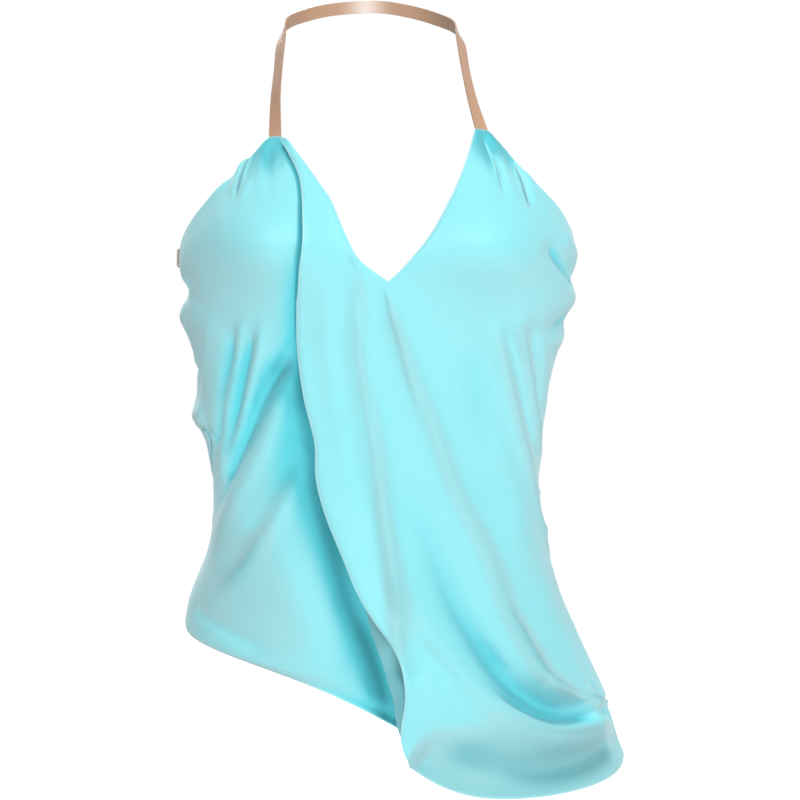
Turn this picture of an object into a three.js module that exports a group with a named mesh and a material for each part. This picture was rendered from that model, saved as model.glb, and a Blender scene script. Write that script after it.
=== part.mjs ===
// Halter neck top in thin satin, as it hangs when worn, with nobody in it.
// Two cups hang from a neck tape. The front of the wearer's left side crosses over the front of the
// right side and ends in a draped revers. It runs down into a deep swag at the left hip. The back is
// bare down to the waist, with one tape across it, and a low back panel closes the hips.
// Units are millimetres, +Z is up, and the wearer faces -Y. The origin is on the inner face of the
// neck tape at the nape, where the wearer's neck holds the top up.

import * as THREE from "three";

// Driving dimensions
const CLOTH_WALL = 1.2;
const SEAM_GAP = 0.8;
const STACK_GAP = 0.5;
const TAPE = { wall: 1.2, neckWidth: 10, backWidth: 12, neckSteps: 52, backSteps: 40 };
const NAPE = { x: 0, y: 52, z: 4.5 };
const CLOTH_RADIUS = 110;
const SECTION_POWER = 2.3;
const WIDEST_SHARE = 0.9999;
const NORMAL_STEP = { deg: 0.5, z: 1 };
const PATH_STEPS = 5;
const SAME_POINT = 0.001;

// The facing that shows past the free edge of the revers: its rows of the revers, how far it reaches
// past the edge, and how far it falls back from it.
const FACING = { topRow: 41, bottomRow: 55, reach: 13, depth: 7 };

// Rings of the hollow that the cloth stands in: reach to the wearer's right and left, and depth
// from the side line to the front and to the back, at each height.
const RINGS = [
  { z: -40, right: 106, left: 108, front: 32, back: 60 },
  { z: -98, right: 122, left: 124, front: 58, back: 72 },
  { z: -147, right: 140, left: 141, front: 78, back: 84 },
  { z: -185, right: 149, left: 150, front: 92, back: 92 },
  { z: -223, right: 147, left: 149, front: 92, back: 90 },
  { z: -261, right: 141, left: 136, front: 87, back: 84 },
  { z: -299, right: 135, left: 128, front: 83, back: 78 },
  { z: -341, right: 127, left: 124, front: 80, back: 76 },
  { z: -364, right: 124, left: 122, front: 80, back: 76 },
  { z: -410, right: 127, left: 129, front: 84, back: 82 },
  { z: -455, right: 143, left: 142, front: 90, back: 92 },
  { z: -478, right: 147, left: 153, front: 93, back: 97 },
  { z: -527, right: 150, left: 174, front: 98, back: 104 },
  { z: -569, right: 152, left: 186, front: 104, back: 108 },
  { z: -610, right: 154, left: 196, front: 108, back: 110 },
];

// Each cup is a soft mound on the rings.
const CUP = { x: 88, z: -183, height: 22, halfWidth: 48, rise: 46, fall: 38, frontShare: 0.5 };

// Side seams, from the waist corner of the bare back down to the hem. Each one swings forward once,
// where the back shows past the edge of the front.
const RIGHT_SEAM = [
  { z: -314, deg: -87 },
  { z: -324, deg: -81 },
  { z: -334, deg: -81 },
  { z: -348, deg: -86 },
  { z: -370, deg: -91 },
  { z: -425, deg: -93 },
  { z: -478, deg: -92 },
];
const LEFT_SEAM = [
  { z: -320, deg: 97 },
  { z: -340, deg: 91 },
  { z: -364, deg: 87 },
  { z: -405, deg: 85 },
  { z: -445, deg: 86 },
  { z: -478, deg: 84 },
  { z: -496, deg: 78 },
  { z: -509, deg: 77 },
  { z: -526, deg: 82 },
];

// Sections of each front panel, from its top to its hem. "in" is the end at the neckline or the
// centre and "out" the end at the armhole, the bare back or the side seam. A place is x, or deg
// round the body from the centre front, with its z. Lifts are how far the cloth stands off the
// rings at each end, sag is how far the section hangs below a straight line, and rows is the number
// of rows of cloth up to the next section.
const RIGHT_FRONT = [
  { inX: -71, inZ: -102, outX: -81, outZ: -102, rows: 3 },
  { inX: -58, inZ: -126, outX: -102, outZ: -122, rows: 4 },
  { inX: -40, inZ: -150, outX: -128, outZ: -150, rows: 4 },
  { inX: -24, inZ: -180, outX: -143, outZ: -170, rows: 3 },
  { inX: -10, inZ: -206, outDeg: -88, outZ: -190, rows: 3 },
  { inX: 9, inZ: -226, outDeg: -93, outZ: -216, sag: 3, rows: 4 },
  { inX: 12, inZ: -262, outDeg: -96, outZ: -250, rows: 4 },
  { inX: 12, inZ: -296, outDeg: -95, outZ: -283, rows: 3 },
  { inX: 12, inZ: -320, outDeg: -90, outZ: -304, rows: 2 },
  { inX: 12, inZ: -334, outSeam: true, outZ: -314, rows: 4 },
  { inX: 12, inZ: -358, outSeam: true, outZ: -332, rows: 4 },
  { inX: 13, inZ: -388, outSeam: true, outZ: -352, rows: 4 },
  { inX: 13, inZ: -425, outSeam: true, outZ: -384, rows: 4 },
  { inX: 14, inZ: -468, outSeam: true, outZ: -418, rows: 5 },
  { inX: 15, inZ: -514, outSeam: true, outZ: -450, sag: -1.5, rows: 4 },
  { inX: 16, inZ: -540, outSeam: true, outZ: -466, sag: -3.5 },
];

// The revers: its free edge, and the neckline that runs on as the fold line below the V.
const REVERS = [
  { inX: -72, inZ: -105, outX: -67, outZ: -105, inLift: 3, outLift: 3, rows: 2 },
  { inX: -64, inZ: -119, outX: -58, outZ: -117, inLift: 4, outLift: 3, rows: 3 },
  { inX: -57, inZ: -136, outX: -45, outZ: -136, inLift: 5, outLift: 3, rows: 3 },
  { inX: -55, inZ: -157, outX: -33, outZ: -155, inLift: 6, outLift: 3, rows: 3 },
  { inX: -55, inZ: -182, outX: -22, outZ: -180, inLift: 7, outLift: 3, rows: 2 },
  { inX: -57, inZ: -205, outX: -12, outZ: -197, inLift: 7, outLift: 3, rows: 2 },
  { inX: -58, inZ: -226, outX: 9, outZ: -212, inLift: 7, outLift: 3, rows: 3 },
  { inX: -57, inZ: -259, outX: 15, outZ: -244, inLift: 8, outLift: 4, rows: 4 },
  { inX: -52, inZ: -296, outX: 23, outZ: -281, inLift: 10, outLift: 5, rows: 4 },
  { inX: -44, inZ: -329, outX: 35, outZ: -322, inLift: 12, outLift: 6, rows: 4 },
  { inX: -42, inZ: -359, outX: 47, outZ: -366, inLift: 14, outLift: 7, rows: 4 },
  { inX: -33, inZ: -393, outX: 56, outZ: -407, inLift: 16, outLift: 8, rows: 4 },
  { inX: -19, inZ: -430, outX: 63, outZ: -447, inLift: 18, outLift: 8, rows: 4 },
  { inX: -3, inZ: -462, outX: 69, outZ: -484, inLift: 20, outLift: 9, rows: 5 },
  { inX: 15, inZ: -489, outX: 73, outZ: -520, inLift: 22, outLift: 11, rows: 4 },
  { inX: 21, inZ: -516, outX: 76, outZ: -549, inLift: 23, outLift: 14, rows: 4 },
  { inX: 18, inZ: -549, outX: 78, outZ: -575, inLift: 24, outLift: 17, sag: 1, rows: 3 },
  { inX: 24, inZ: -569, outX: 79, outZ: -592, inLift: 26, outLift: 20, sag: 4 },
];

// The left cup and the swag below it. From the V down, its sections carry on those of the revers.
const V_SECTION = 6;
const LEFT_FRONT = [
  { inX: 74, inZ: -96, outX: 84, outZ: -97, inLift: 0, outLift: 0, rows: 3 },
  { inX: 68, inZ: -117, outX: 101, outZ: -116, inLift: 1, outLift: 0, rows: 3 },
  { inX: 60, inZ: -139, outX: 120, outZ: -137, inLift: 1, outLift: 0, rows: 3 },
  { inX: 49, inZ: -162, outX: 139, outZ: -158, inLift: 2, outLift: 0, rows: 3 },
  { inX: 36, inZ: -184, outDeg: 86, outZ: -174, inLift: 2, outLift: 0, rows: 2 },
  { inX: 21, inZ: -201, outDeg: 98, outZ: -188, inLift: 3, outLift: 0, rows: 2 },
  { inX: 9, inZ: -212, outDeg: 103, outZ: -212, inLift: 3, outLift: 0, rows: 3 },
  { inX: 15, inZ: -244, outDeg: 107, outZ: -248, inLift: 4, outLift: 0, rows: 4 },
  { inX: 23, inZ: -281, outDeg: 105, outZ: -284, inLift: 5, outLift: 0, rows: 4 },
  { inX: 35, inZ: -322, outSeam: true, outZ: -320, inLift: 6, outLift: 0, rows: 4 },
  { inX: 47, inZ: -366, outSeam: true, outZ: -364, inLift: 7, outLift: 0, rows: 4 },
  { inX: 56, inZ: -407, outSeam: true, outZ: -405, inLift: 8, outLift: 0, rows: 4 },
  { inX: 63, inZ: -447, outSeam: true, outZ: -445, inLift: 8, outLift: 0, rows: 4 },
  { inX: 69, inZ: -484, outSeam: true, outZ: -480, inLift: 9, outLift: 0, rows: 5 },
  { inX: 73, inZ: -520, outSeam: true, outZ: -506, inLift: 11, outLift: 0, rows: 4 },
  { inX: 76, inZ: -549, outSeam: true, outZ: -526, inLift: 14, outLift: 0, sag: 3, rows: 4 },
  { inX: 78, inZ: -575, outDeg: 85, outZ: -549, inLift: 17, outLift: 3, sag: 7, rows: 3 },
  { inX: 79, inZ: -592, outDeg: 87, outZ: -568, inLift: 20, outLift: 5, sag: 9 },
];

// The low back, from one side seam round to the other. It has the same rows as the fronts along both
// seams, so that the edges match.
const BACK = [
  { inSeam: true, inZ: -314, outSeam: true, outZ: -320, sag: 18, rows: 4 },
  { inSeam: true, inZ: -332, outSeam: true, outZ: -364, sag: 10, rows: 4 },
  { inSeam: true, inZ: -352, outSeam: true, outZ: -405, sag: 2, rows: 4 },
  { inSeam: true, inZ: -384, outSeam: true, outZ: -445, sag: 0, rows: 4 },
  { inSeam: true, inZ: -418, outSeam: true, outZ: -480, sag: 0, rows: 5 },
  { inSeam: true, inZ: -450, outSeam: true, outZ: -506, sag: 2, rows: 4 },
  { inSeam: true, inZ: -466, outSeam: true, outZ: -526, sag: 4 },
];

// Folds, each along a path of [x, z] in front view, or [deg, z] where round is true. Height is
// out of the cloth at the path's two ends, negative for a trough, and fade is how gently it starts
// and ends. A fold with a layer shapes only that layer, and the others shape every layer alike.
const FOLDS = [
  // revers and swag
  { path: [[-14, -198], [-11, -262], [-2, -313], [3, -353], [8, -398], [12, -426], [17, -462], [20, -500]],
    height: [3, 7], width: 10, fade: [20, 30] },
  { path: [[19, -455], [24, -488], [30, -512]], height: [-2, -4], width: 7, fade: [20, 15] },
  { path: [[9, -216], [17, -246], [37, -305], [53, -356], [81, -420], [97, -463], [114, -494], [124, -508],
      [145, -520], [169, -529]], height: [3, 7], width: 9, fade: [30, 10] },
  { path: [[18, -351], [32, -390], [47, -429], [66, -468], [91, -505], [114, -523], [136, -531],
      [162, -530]], height: [-2, -17], width: 13, fade: [40, 12] },
  { path: [[12, -421], [26, -451], [38, -473], [53, -492], [70, -511], [85, -525], [105, -539], [130, -546],
      [157, -542], [172, -534]], height: [3, 11], width: 12, fade: [30, 30] },
  { path: [[38, -548], [76, -562], [113, -571], [150, -568], [178, -556]], height: [-3, -7], width: 12,
    fade: [25, 15] },
  { path: [[28, -478], [42, -492], [60, -512]], height: [-2, -2], width: 6, fade: [12, 12] },
  { path: [[22, -562], [47, -580], [69, -588], [91, -592], [121, -590], [151, -582], [174, -574],
      [188, -570]], height: [-18, -18], width: 25, fade: [14, 105], layer: "left_front" },
  // the right front falls back behind the free edge of the revers
  { path: [[-54, -240], [-48, -314], [-38, -373], [-19, -440], [-1, -483], [14, -540]],
    height: [-4, -8], width: 16, fade: [50, 0], layer: "right_front" },
  // drag lines below the left cup
  { path: [[85, -240], [93, -276], [103, -313], [114, -356], [121, -389], [131, -423]], height: [3, 3],
    width: 6, fade: [25, 30] },
  { path: [[96, -240], [105, -276], [112, -313], [118, -341]], height: [-3, -3], width: 6, fade: [20, 20] },
  { path: [[105, -238], [112, -269], [117, -305], [121, -332]], height: [3, 3], width: 5, fade: [20, 20] },
  { path: [[114, -238], [119, -276], [121, -307]], height: [-3, -3], width: 6, fade: [15, 15] },
  { path: [[69, -248], [75, -299], [86, -351], [98, -404]], height: [-3, -3], width: 14, fade: [30, 40] },
  { path: [[80, -314], [94, -370], [103, -399], [118, -442]], height: [2, 3], width: 16, fade: [30, 30] },
  // gathers below the left tape
  { path: [[80, -98], [87, -128], [95, -150]], height: [-2, -2], width: 4, fade: [24, 18] },
  { path: [[88, -104], [98, -132], [107, -151]], height: [2, 2], width: 5, fade: [18, 18] },
  { path: [[96, -113], [106, -142], [115, -162]], height: [-3, -2], width: 5, fade: [8, 18] },
  // tucks of the left side where the back tape pulls the cloth in
  { path: [[62, -184], [71, -194], [80, -203], [91, -209], [104, -211]],
    height: [-3, -6], width: 8, fade: [14, 0],
    round: true },
  { path: [[137, -176], [147, -190]], height: [3, 3], width: 9, fade: [8, 0] },
  { path: [[90, -217], [103, -218]], height: [2, 3], width: 7, fade: [6, 0], round: true },
  { path: [[66, -250], [80, -242], [104, -236]], height: [-2, -6], width: 8, fade: [12, 0], round: true },
  // drag lines below the right cup
  { path: [[-106, -243], [-109, -276], [-115, -305], [-121, -336]],
    height: [-3, -3], width: 6, fade: [20, 15] },
  { path: [[-99, -242], [-105, -276], [-111, -305], [-119, -352]],
    height: [3, 3], width: 5, fade: [20, 15] },
  { path: [[-91, -245], [-99, -276], [-107, -311], [-115, -344]],
    height: [-4, -3], width: 6, fade: [20, 15] },
  { path: [[-84, -242], [-92, -276], [-99, -307], [-111, -338], [-120, -361]], height: [4, 3], width: 5,
    fade: [20, 15] },
  { path: [[-65, -264], [-77, -283], [-89, -305], [-98, -328], [-108, -346], [-115, -364]],
    height: [-6, -5], width: 8, fade: [20, 15] },
  { path: [[-64, -292], [-79, -322], [-94, -350], [-108, -379], [-121, -408]], height: [3, 3], width: 10,
    fade: [20, 20] },
  { path: [[-57, -335], [-81, -374], [-102, -408], [-119, -430]],
    height: [-3, -3], width: 11, fade: [20, 20] },
  { path: [[-57, -365], [-83, -399], [-100, -427], [-118, -445]],
    height: [2, 3], width: 9, fade: [25, 20] },
  // gathers below the right tape
  { path: [[-104, -114], [-111, -135], [-116, -154]], height: [-3, -2], width: 4, fade: [8, 16] },
  { path: [[-91, -107], [-96, -128], [-99, -142]], height: [-2, -2], width: 4, fade: [12, 14] },
  { path: [[-97, -110], [-103, -131], [-108, -148]], height: [2, 2], width: 4, fade: [10, 14] },
  // loops of the right side edge, and the turned hem
  { path: [[-70, -205], [-84, -216], [-96, -217]], height: [-2, -7], width: 8, fade: [12, 0], round: true },
  { path: [[-80, -240], [-90, -238], [-98, -237]], height: [3, 4], width: 13, fade: [8, 0], round: true },
  { path: [[-78, -290], [-88, -274], [-98, -268]], height: [-2, -4], width: 9, fade: [10, 0], round: true },
  { path: [[-78, -316], [-88, -311], [-92, -309]], height: [5, 7], width: 11, fade: [8, 0], round: true },
  { path: [[-136, -456], [-120, -466], [-101, -476], [-79, -486]],
    height: [-3, -2], width: 6, fade: [6, 20] },
  { path: [[-92, -480], [-60, -497], [-30, -512], [2, -537]], height: [-4, -4], width: 7, fade: [0, 0],
    round: true, layer: "right_front" },
  // soft drapes of the back, fuller towards the hem
  { path: [[-108, -345], [-112, -410], [-114, -490]],
    height: [-2, -6], width: 14, fade: [20, 0], round: true },
  { path: [[-128, -350], [-131, -410], [-134, -495]],
    height: [2, 6], width: 15, fade: [20, 0], round: true },
  { path: [[-150, -362], [-152, -420], [-154, -505]],
    height: [-3, -6], width: 14, fade: [25, 0], round: true },
  { path: [[-171, -365], [-173, -430], [-176, -515]],
    height: [2, 5], width: 16, fade: [25, 0], round: true },
  { path: [[-196, -360], [-199, -430], [-202, -525]],
    height: [-3, -7], width: 15, fade: [25, 0], round: true },
  { path: [[-220, -350], [-222, -430], [-226, -530]],
    height: [2, 6], width: 16, fade: [20, 0], round: true },
  { path: [[-244, -345], [-246, -430], [-249, -535]],
    height: [-2, -5], width: 13, fade: [20, 0], round: true },
];

// The neck tape's middle line, with the way its outer face looks, from the right cup to the left.
// Each end is sewn behind the tip of its cup.
const NECK_TAPE_ENDS = { right: [-76.5, -111, -104], left: [79.5, -98, -105] };
const NECK_TAPE = [
  { x: -76, y: -36, z: -74, nx: -0.66, ny: -0.7, nz: 0.3 },
  { x: -74.5, y: -20, z: -50, nx: -0.74, ny: -0.55, nz: 0.35 },
  { x: -72.5, y: -2, z: -26, nx: -0.75, ny: -0.45, nz: 0.45 },
  { x: -68.5, y: 14, z: -12, nx: -0.75, ny: 0.55, nz: 0.35 },
  { x: -55, y: 33, z: -4, nx: -0.5, ny: 0.85, nz: 0.15 },
  { x: -33, y: 46, z: 2, nx: -0.2, ny: 0.98, nz: 0 },
  { x: NAPE.x, y: NAPE.y + TAPE.wall / 2, z: NAPE.z, nx: 0, ny: 1, nz: 0 },
  { x: 26, y: 46, z: 0, nx: 0.2, ny: 0.98, nz: 0 },
  { x: 47, y: 32, z: -7.5, nx: 0.5, ny: 0.85, nz: 0.15 },
  { x: 59, y: 14, z: -15, nx: 0.75, ny: 0.55, nz: 0.35 },
  { x: 63.5, y: -2, z: -27, nx: 0.75, ny: -0.45, nz: 0.45 },
  { x: 67, y: -20, z: -50, nx: 0.74, ny: -0.55, nz: 0.35 },
  { x: 72, y: -34, z: -74, nx: 0.66, ny: -0.7, nz: 0.3 },
];

// The back tape, from inside the right side edge to inside the left: angle round the body, height, and
// how far it stands off the cloth's own surface. It hangs a little slack.
const BACK_TAPE = [
  { deg: -80, z: -190, lift: -1.8 },
  { deg: -86, z: -190, lift: -1.8 },
  { deg: -92, z: -190, lift: -1.8 },
  { deg: -101, z: -192, lift: -0.5 },
  { deg: -130, z: -210, lift: -2 },
  { deg: -180, z: -225, lift: -3 },
  { deg: -230, z: -211, lift: -2 },
  { deg: -248, z: -191, lift: -2.6 },
  { deg: -258, z: -184, lift: -2.8 },
  { deg: -264, z: -183, lift: -2.4 },
  { deg: -270, z: -183, lift: -2 },
];

const SATIN = { color: 0x8fe3ea, roughness: 0.35, metalness: 0 };
const NUDE = { color: 0xc09a80, roughness: 0.4, metalness: 0 };
const COLUMNS = { rightFront: 16, revers: 11, leftFront: 17, back: 24, facing: 3 };

const radians = THREE.MathUtils.degToRad;
const lerp = THREE.MathUtils.lerp;

// A value between four neighbours of a table, on a Catmull-Rom curve.
function curve(a, b, c, d, t) {
  const slopeB = (c - a) / 2;
  const slopeC = (d - b) / 2;
  const t2 = t * t;
  const t3 = t2 * t;
  return (
    (2 * t3 - 3 * t2 + 1) * b + (t3 - 2 * t2 + t) * slopeB + (3 * t2 - 2 * t3) * c + (t3 - t2) * slopeC
  );
}

// The named column of a table at a place between its rows. It runs straight out at both ends.
function tableAt(rows, column, place) {
  const last = rows.length - 1;
  const i = Math.min(Math.floor(place), last - 1);
  const value = (k) => rows[k][column] ?? 0;
  const before = i > 0 ? value(i - 1) : 2 * value(0) - value(1);
  const after = i + 2 <= last ? value(i + 2) : 2 * value(last) - value(last - 1);
  return curve(before, value(i), value(i + 1), after, place - i);
}

// The place between a table's rows where its z column, which falls from row to row, reaches z.
function placeOfHeight(rows, z) {
  const last = rows.length - 1;
  if (z >= rows[0].z) return 0;
  if (z <= rows[last].z) return last;
  const i = rows.findIndex((row) => row.z <= z) - 1;
  return i + (rows[i].z - z) / (rows[i].z - rows[i + 1].z);
}

function ringAt(z) {
  const place = placeOfHeight(RINGS, z);
  const reach = (column) => tableAt(RINGS, column, place);
  return {
    middle: (reach("left") - reach("right")) / 2,
    half: (reach("left") + reach("right")) / 2,
    front: reach("front"),
    back: reach("back"),
  };
}

function cupHeight(x, z) {
  const spread = z > CUP.z ? CUP.rise : CUP.fall;
  const drop = ((z - CUP.z) / spread) ** 2;
  const side = ((Math.abs(x) - CUP.x) / CUP.halfWidth) ** 2;
  return CUP.height * Math.exp(-drop - side);
}

// A point of the hollow form, by the angle round it from the centre front and its height.
function formPoint(deg, z) {
  const ring = ringAt(z);
  const sine = Math.sin(radians(deg));
  const cosine = Math.cos(radians(deg));
  const depth = cosine > 0 ? ring.front : ring.back;
  const sum = Math.abs(sine / ring.half) ** SECTION_POWER + Math.abs(cosine / depth) ** SECTION_POWER;
  const reach = sum ** (-1 / SECTION_POWER);
  const x = ring.middle + reach * sine;
  const cup = cupHeight(x, z) * THREE.MathUtils.smoothstep(cosine, 0, CUP.frontShare);
  return new THREE.Vector3(x, -reach * cosine - cup, z);
}

function formNormal(deg, z) {
  const around = formPoint(deg + NORMAL_STEP.deg, z).sub(formPoint(deg - NORMAL_STEP.deg, z));
  const up = formPoint(deg, z + NORMAL_STEP.z).sub(formPoint(deg, z - NORMAL_STEP.z));
  return around.cross(up).normalize();
}

// The angle of a place that is given by its x in the front view.
function degAt(x, z) {
  const ring = ringAt(z);
  const share = Math.min(Math.abs(x - ring.middle) / ring.half, WIDEST_SHARE);
  const depth = ring.front * (1 - share ** SECTION_POWER) ** (1 / SECTION_POWER);
  return THREE.MathUtils.radToDeg(Math.atan2(x - ring.middle, depth));
}

// Each fold's path, smoothed, as points on the cloth laid out flat.
function flatPath(fold) {
  const rows = fold.path.map(([place, z]) => ({
    s: radians(fold.round ? place : degAt(place, z)) * CLOTH_RADIUS,
    z,
  }));
  const steps = PATH_STEPS * (rows.length - 1);
  const points = [];
  for (let i = 0; i <= steps; i++) {
    const place = (i * (rows.length - 1)) / steps;
    points.push(new THREE.Vector2(tableAt(rows, "s", place), tableAt(rows, "z", place)));
  }
  return points;
}

const flatFolds = FOLDS.map((fold) => {
  const points = flatPath(fold);
  const runs = [0];
  for (let i = 1; i < points.length; i++) runs.push(runs[i - 1] + points[i].distanceTo(points[i - 1]));
  return { ...fold, points, runs, length: runs[runs.length - 1] };
});

// A fold rises over its fade length, and starts a little before the end of its path.
const FADE_START = -0.3;

function fadeIn(run, fade) {
  return fade > 0 ? THREE.MathUtils.smoothstep(run, FADE_START * fade, fade) : 1;
}

// How far the folds move the cloth out at a place on it.
function foldHeight(deg, z, layer) {
  const here = new THREE.Vector2(radians(deg) * CLOTH_RADIUS, z);
  let height = 0;
  for (const fold of flatFolds) {
    if (fold.layer && fold.layer !== layer) continue;
    let nearest = Infinity;
    let run = 0;
    for (let i = 1; i < fold.points.length; i++) {
      const from = fold.points[i - 1];
      const along = fold.points[i].clone().sub(from);
      const share = THREE.MathUtils.clamp(here.clone().sub(from).dot(along) / along.lengthSq(), 0, 1);
      const gap = here.distanceTo(from.clone().addScaledVector(along, share));
      if (gap < nearest) {
        nearest = gap;
        run = lerp(fold.runs[i - 1], fold.runs[i], share);
      }
    }
    const ends = fadeIn(run, fold.fade[0]) * fadeIn(fold.length - run, fold.fade[1]);
    const peak = lerp(fold.height[0], fold.height[1], run / fold.length);
    height += peak * ends * Math.exp(-((nearest / fold.width) ** 2));
  }
  return height;
}

function clothPoint(deg, z, lift, layer) {
  return formPoint(deg, z).addScaledVector(formNormal(deg, z), lift + foldHeight(deg, z, layer));
}

// The angle of a seam at a height, half the seam gap to one side of it.
function seamDeg(seam, z, side) {
  const gap = THREE.MathUtils.radToDeg(SEAM_GAP / 2 / CLOTH_RADIUS);
  return tableAt(seam, "deg", placeOfHeight(seam, z)) + side * gap;
}

// A panel as rows of points, from its table of sections. seams.in and seams.out give the angle at a
// height of the seam that it ends at.
function panelRows(sections, columns, layer, seams) {
  const endDeg = (row, end) => {
    if (row[end + "Seam"]) return seams[end](row[end + "Z"]);
    return row[end + "Deg"] ?? degAt(row[end + "X"], row[end + "Z"]);
  };
  const ends = sections.map((row) => ({ ...row, inDeg: endDeg(row, "in"), outDeg: endDeg(row, "out") }));
  const rows = [];
  sections.forEach((section, i) => {
    const steps = i < sections.length - 1 ? section.rows : 1;
    for (let k = 0; k < steps; k++) {
      const at = (column) => tableAt(ends, column, i + k / steps);
      const edge = (end) => {
        const next = sections[k ? i + 1 : i];
        if (!section[end + "Seam"] || !next[end + "Seam"]) {
          return { deg: at(end + "Deg"), z: at(end + "Z") };
        }
        const z = lerp(section[end + "Z"], next[end + "Z"], k / steps);
        return { deg: seams[end](z), z };
      };
      const inner = edge("in");
      const outer = edge("out");
      const row = [];
      for (let c = 0; c <= columns; c++) {
        const u = c / columns;
        const deg = lerp(inner.deg, outer.deg, u);
        const z = lerp(inner.z, outer.z, u) - at("sag") * 4 * u * (1 - u);
        const lift = lerp(at("inLift"), at("outLift"), u);
        row.push(clothPoint(deg, z, lift, layer));
      }
      rows.push(row);
    }
  });
  return rows;
}

// The rows of a panel with a corner in one edge, smoothed apart above and below it.
function corneredRows(sections, corner, ...rest) {
  const above = panelRows(sections.slice(0, corner + 1), ...rest);
  const below = panelRows(sections.slice(corner), ...rest);
  return [...above, ...below.slice(1)];
}

// A surface of points and four-sided faces, from rows of points. Faces look out when the rows run
// down and the columns run to the wearer's left.
class Surface {
  points = [];
  faces = [];

  addRows(rows, flip = false) {
    const index = rows.map((row) => row.map((point) => this.indexOf(point)));
    for (let r = 1; r < rows.length; r++) {
      for (let c = 1; c < rows[r].length; c++) {
        const face = [index[r - 1][c - 1], index[r][c - 1], index[r][c], index[r - 1][c]];
        this.faces.push(flip ? face.reverse() : face);
      }
    }
    return this;
  }

  indexOf(point) {
    const found = this.points.findIndex((other) => other.distanceTo(point) < SAME_POINT);
    return found >= 0 ? found : this.points.push(point) - 1;
  }

  normals() {
    const normals = this.points.map(() => new THREE.Vector3());
    for (const face of this.faces) {
      const [a, b, c, d] = face.map((i) => this.points[i]);
      const normal = c.clone().sub(a).cross(d.clone().sub(b));
      face.forEach((i) => normals[i].add(normal));
    }
    return normals.map((normal) => normal.normalize());
  }

  // A closed wall with this surface in its middle.
  wall(thickness) {
    const normals = this.normals();
    const count = this.points.length;
    const outer = this.points.map((p, i) => p.clone().addScaledVector(normals[i], thickness / 2));
    const inner = this.points.map((p, i) => p.clone().addScaledVector(normals[i], -thickness / 2));
    const triangles = [];
    const edges = new Map();
    for (const face of this.faces) {
      const [a, b, c, d] = face;
      triangles.push(a, b, c, a, c, d);
      triangles.push(count + a, count + c, count + b, count + a, count + d, count + c);
      face.forEach((from, k) => {
        const to = face[(k + 1) % 4];
        if (!edges.delete(`${to},${from}`)) edges.set(`${from},${to}`, [from, to]);
      });
    }
    for (const [from, to] of edges.values()) {
      triangles.push(from, count + from, count + to, from, count + to, to);
    }
    const positions = [...outer, ...inner].flatMap((p) => [p.x, p.y, p.z]);
    const geometry = new THREE.BufferGeometry();
    geometry.setAttribute("position", new THREE.Float32BufferAttribute(positions, 3));
    geometry.setIndex(triangles);
    geometry.computeVertexNormals();
    return geometry;
  }
}

function clothMesh(name, geometry, look) {
  const material = new THREE.MeshStandardMaterial({ ...look, side: THREE.DoubleSide });
  const mesh = new THREE.Mesh(geometry, material);
  mesh.name = name;
  return mesh;
}

function rightFront() {
  const seams = { out: (z) => seamDeg(RIGHT_SEAM, z, 1) };
  const rows = panelRows(RIGHT_FRONT, COLUMNS.rightFront, "right_front", seams);
  return clothMesh("right_front", new Surface().addRows(rows, true).wall(CLOTH_WALL), SATIN);
}

function reversRows() {
  return corneredRows(REVERS, V_SECTION, COLUMNS.revers, "left_front", {});
}

function leftFront() {
  const seams = { out: (z) => seamDeg(LEFT_SEAM, z, -1) };
  const cup = corneredRows(LEFT_FRONT, V_SECTION, COLUMNS.leftFront, "left_front", seams);
  return clothMesh("left_front", new Surface().addRows(cup).addRows(reversRows()).wall(CLOTH_WALL), SATIN);
}

// The facing is made from the points of the revers, moved in behind it, and its own edge runs a little
// outside the free edge.
function reversFacing() {
  const rows = reversRows().slice(FACING.topRow, FACING.bottomRow + 1);
  const shifted = rows.map((row, r) => {
    const along = r / (rows.length - 1);
    return row.slice(0, COLUMNS.facing + 1).map((point, c) => {
      const edge = 1 - c / COLUMNS.facing;
      const show = FACING.reach * Math.sin(Math.PI * along) * edge;
      const depth = CLOTH_WALL + STACK_GAP + FACING.depth * edge;
      return point.clone().add(new THREE.Vector3(-show, depth, 0));
    });
  });
  return clothMesh("revers_facing", new Surface().addRows(shifted).wall(CLOTH_WALL), SATIN);
}

function lowBack() {
  const rows = panelRows(BACK, COLUMNS.back, "back", {
    in: (z) => seamDeg(RIGHT_SEAM, z, -1),
    out: (z) => seamDeg(LEFT_SEAM, z, 1) - 360,
  });
  return clothMesh("back", new Surface().addRows(rows, true).wall(CLOTH_WALL), SATIN);
}

// The three points across a tape where it lies along the cloth, from one edge to the other.
function clothCrossing(place, lift) {
  return place.map(({ deg, z }) => clothPoint(deg, z, lift));
}

// The three points across a tape where it hangs free, from its middle line and the way it faces.
function freeCrossing(line, i, width) {
  const point = (k) => new THREE.Vector3(line[k].x, line[k].y, line[k].z);
  const along = point(Math.min(i + 1, line.length - 1)).sub(point(Math.max(i - 1, 0)));
  const face = new THREE.Vector3(line[i].nx, line[i].ny, line[i].nz);
  const across = face.cross(along).setLength(width / 2);
  return [point(i).sub(across), point(i), point(i).add(across)];
}

// A flat tape through its crossings, smooth from one to the next.
function tapeMesh(name, crossings, steps) {
  const rows = [];
  for (let i = 0; i <= steps; i++) {
    const place = (i * (crossings.length - 1)) / steps;
    const side = (k, axis) => tableAt(crossings.map((points) => points[k]), axis, place);
    rows.push([0, 1, 2].map((k) => new THREE.Vector3(side(k, "x"), side(k, "y"), side(k, "z"))));
  }
  return clothMesh(name, new Surface().addRows(rows).wall(TAPE.wall), NUDE);
}

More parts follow.
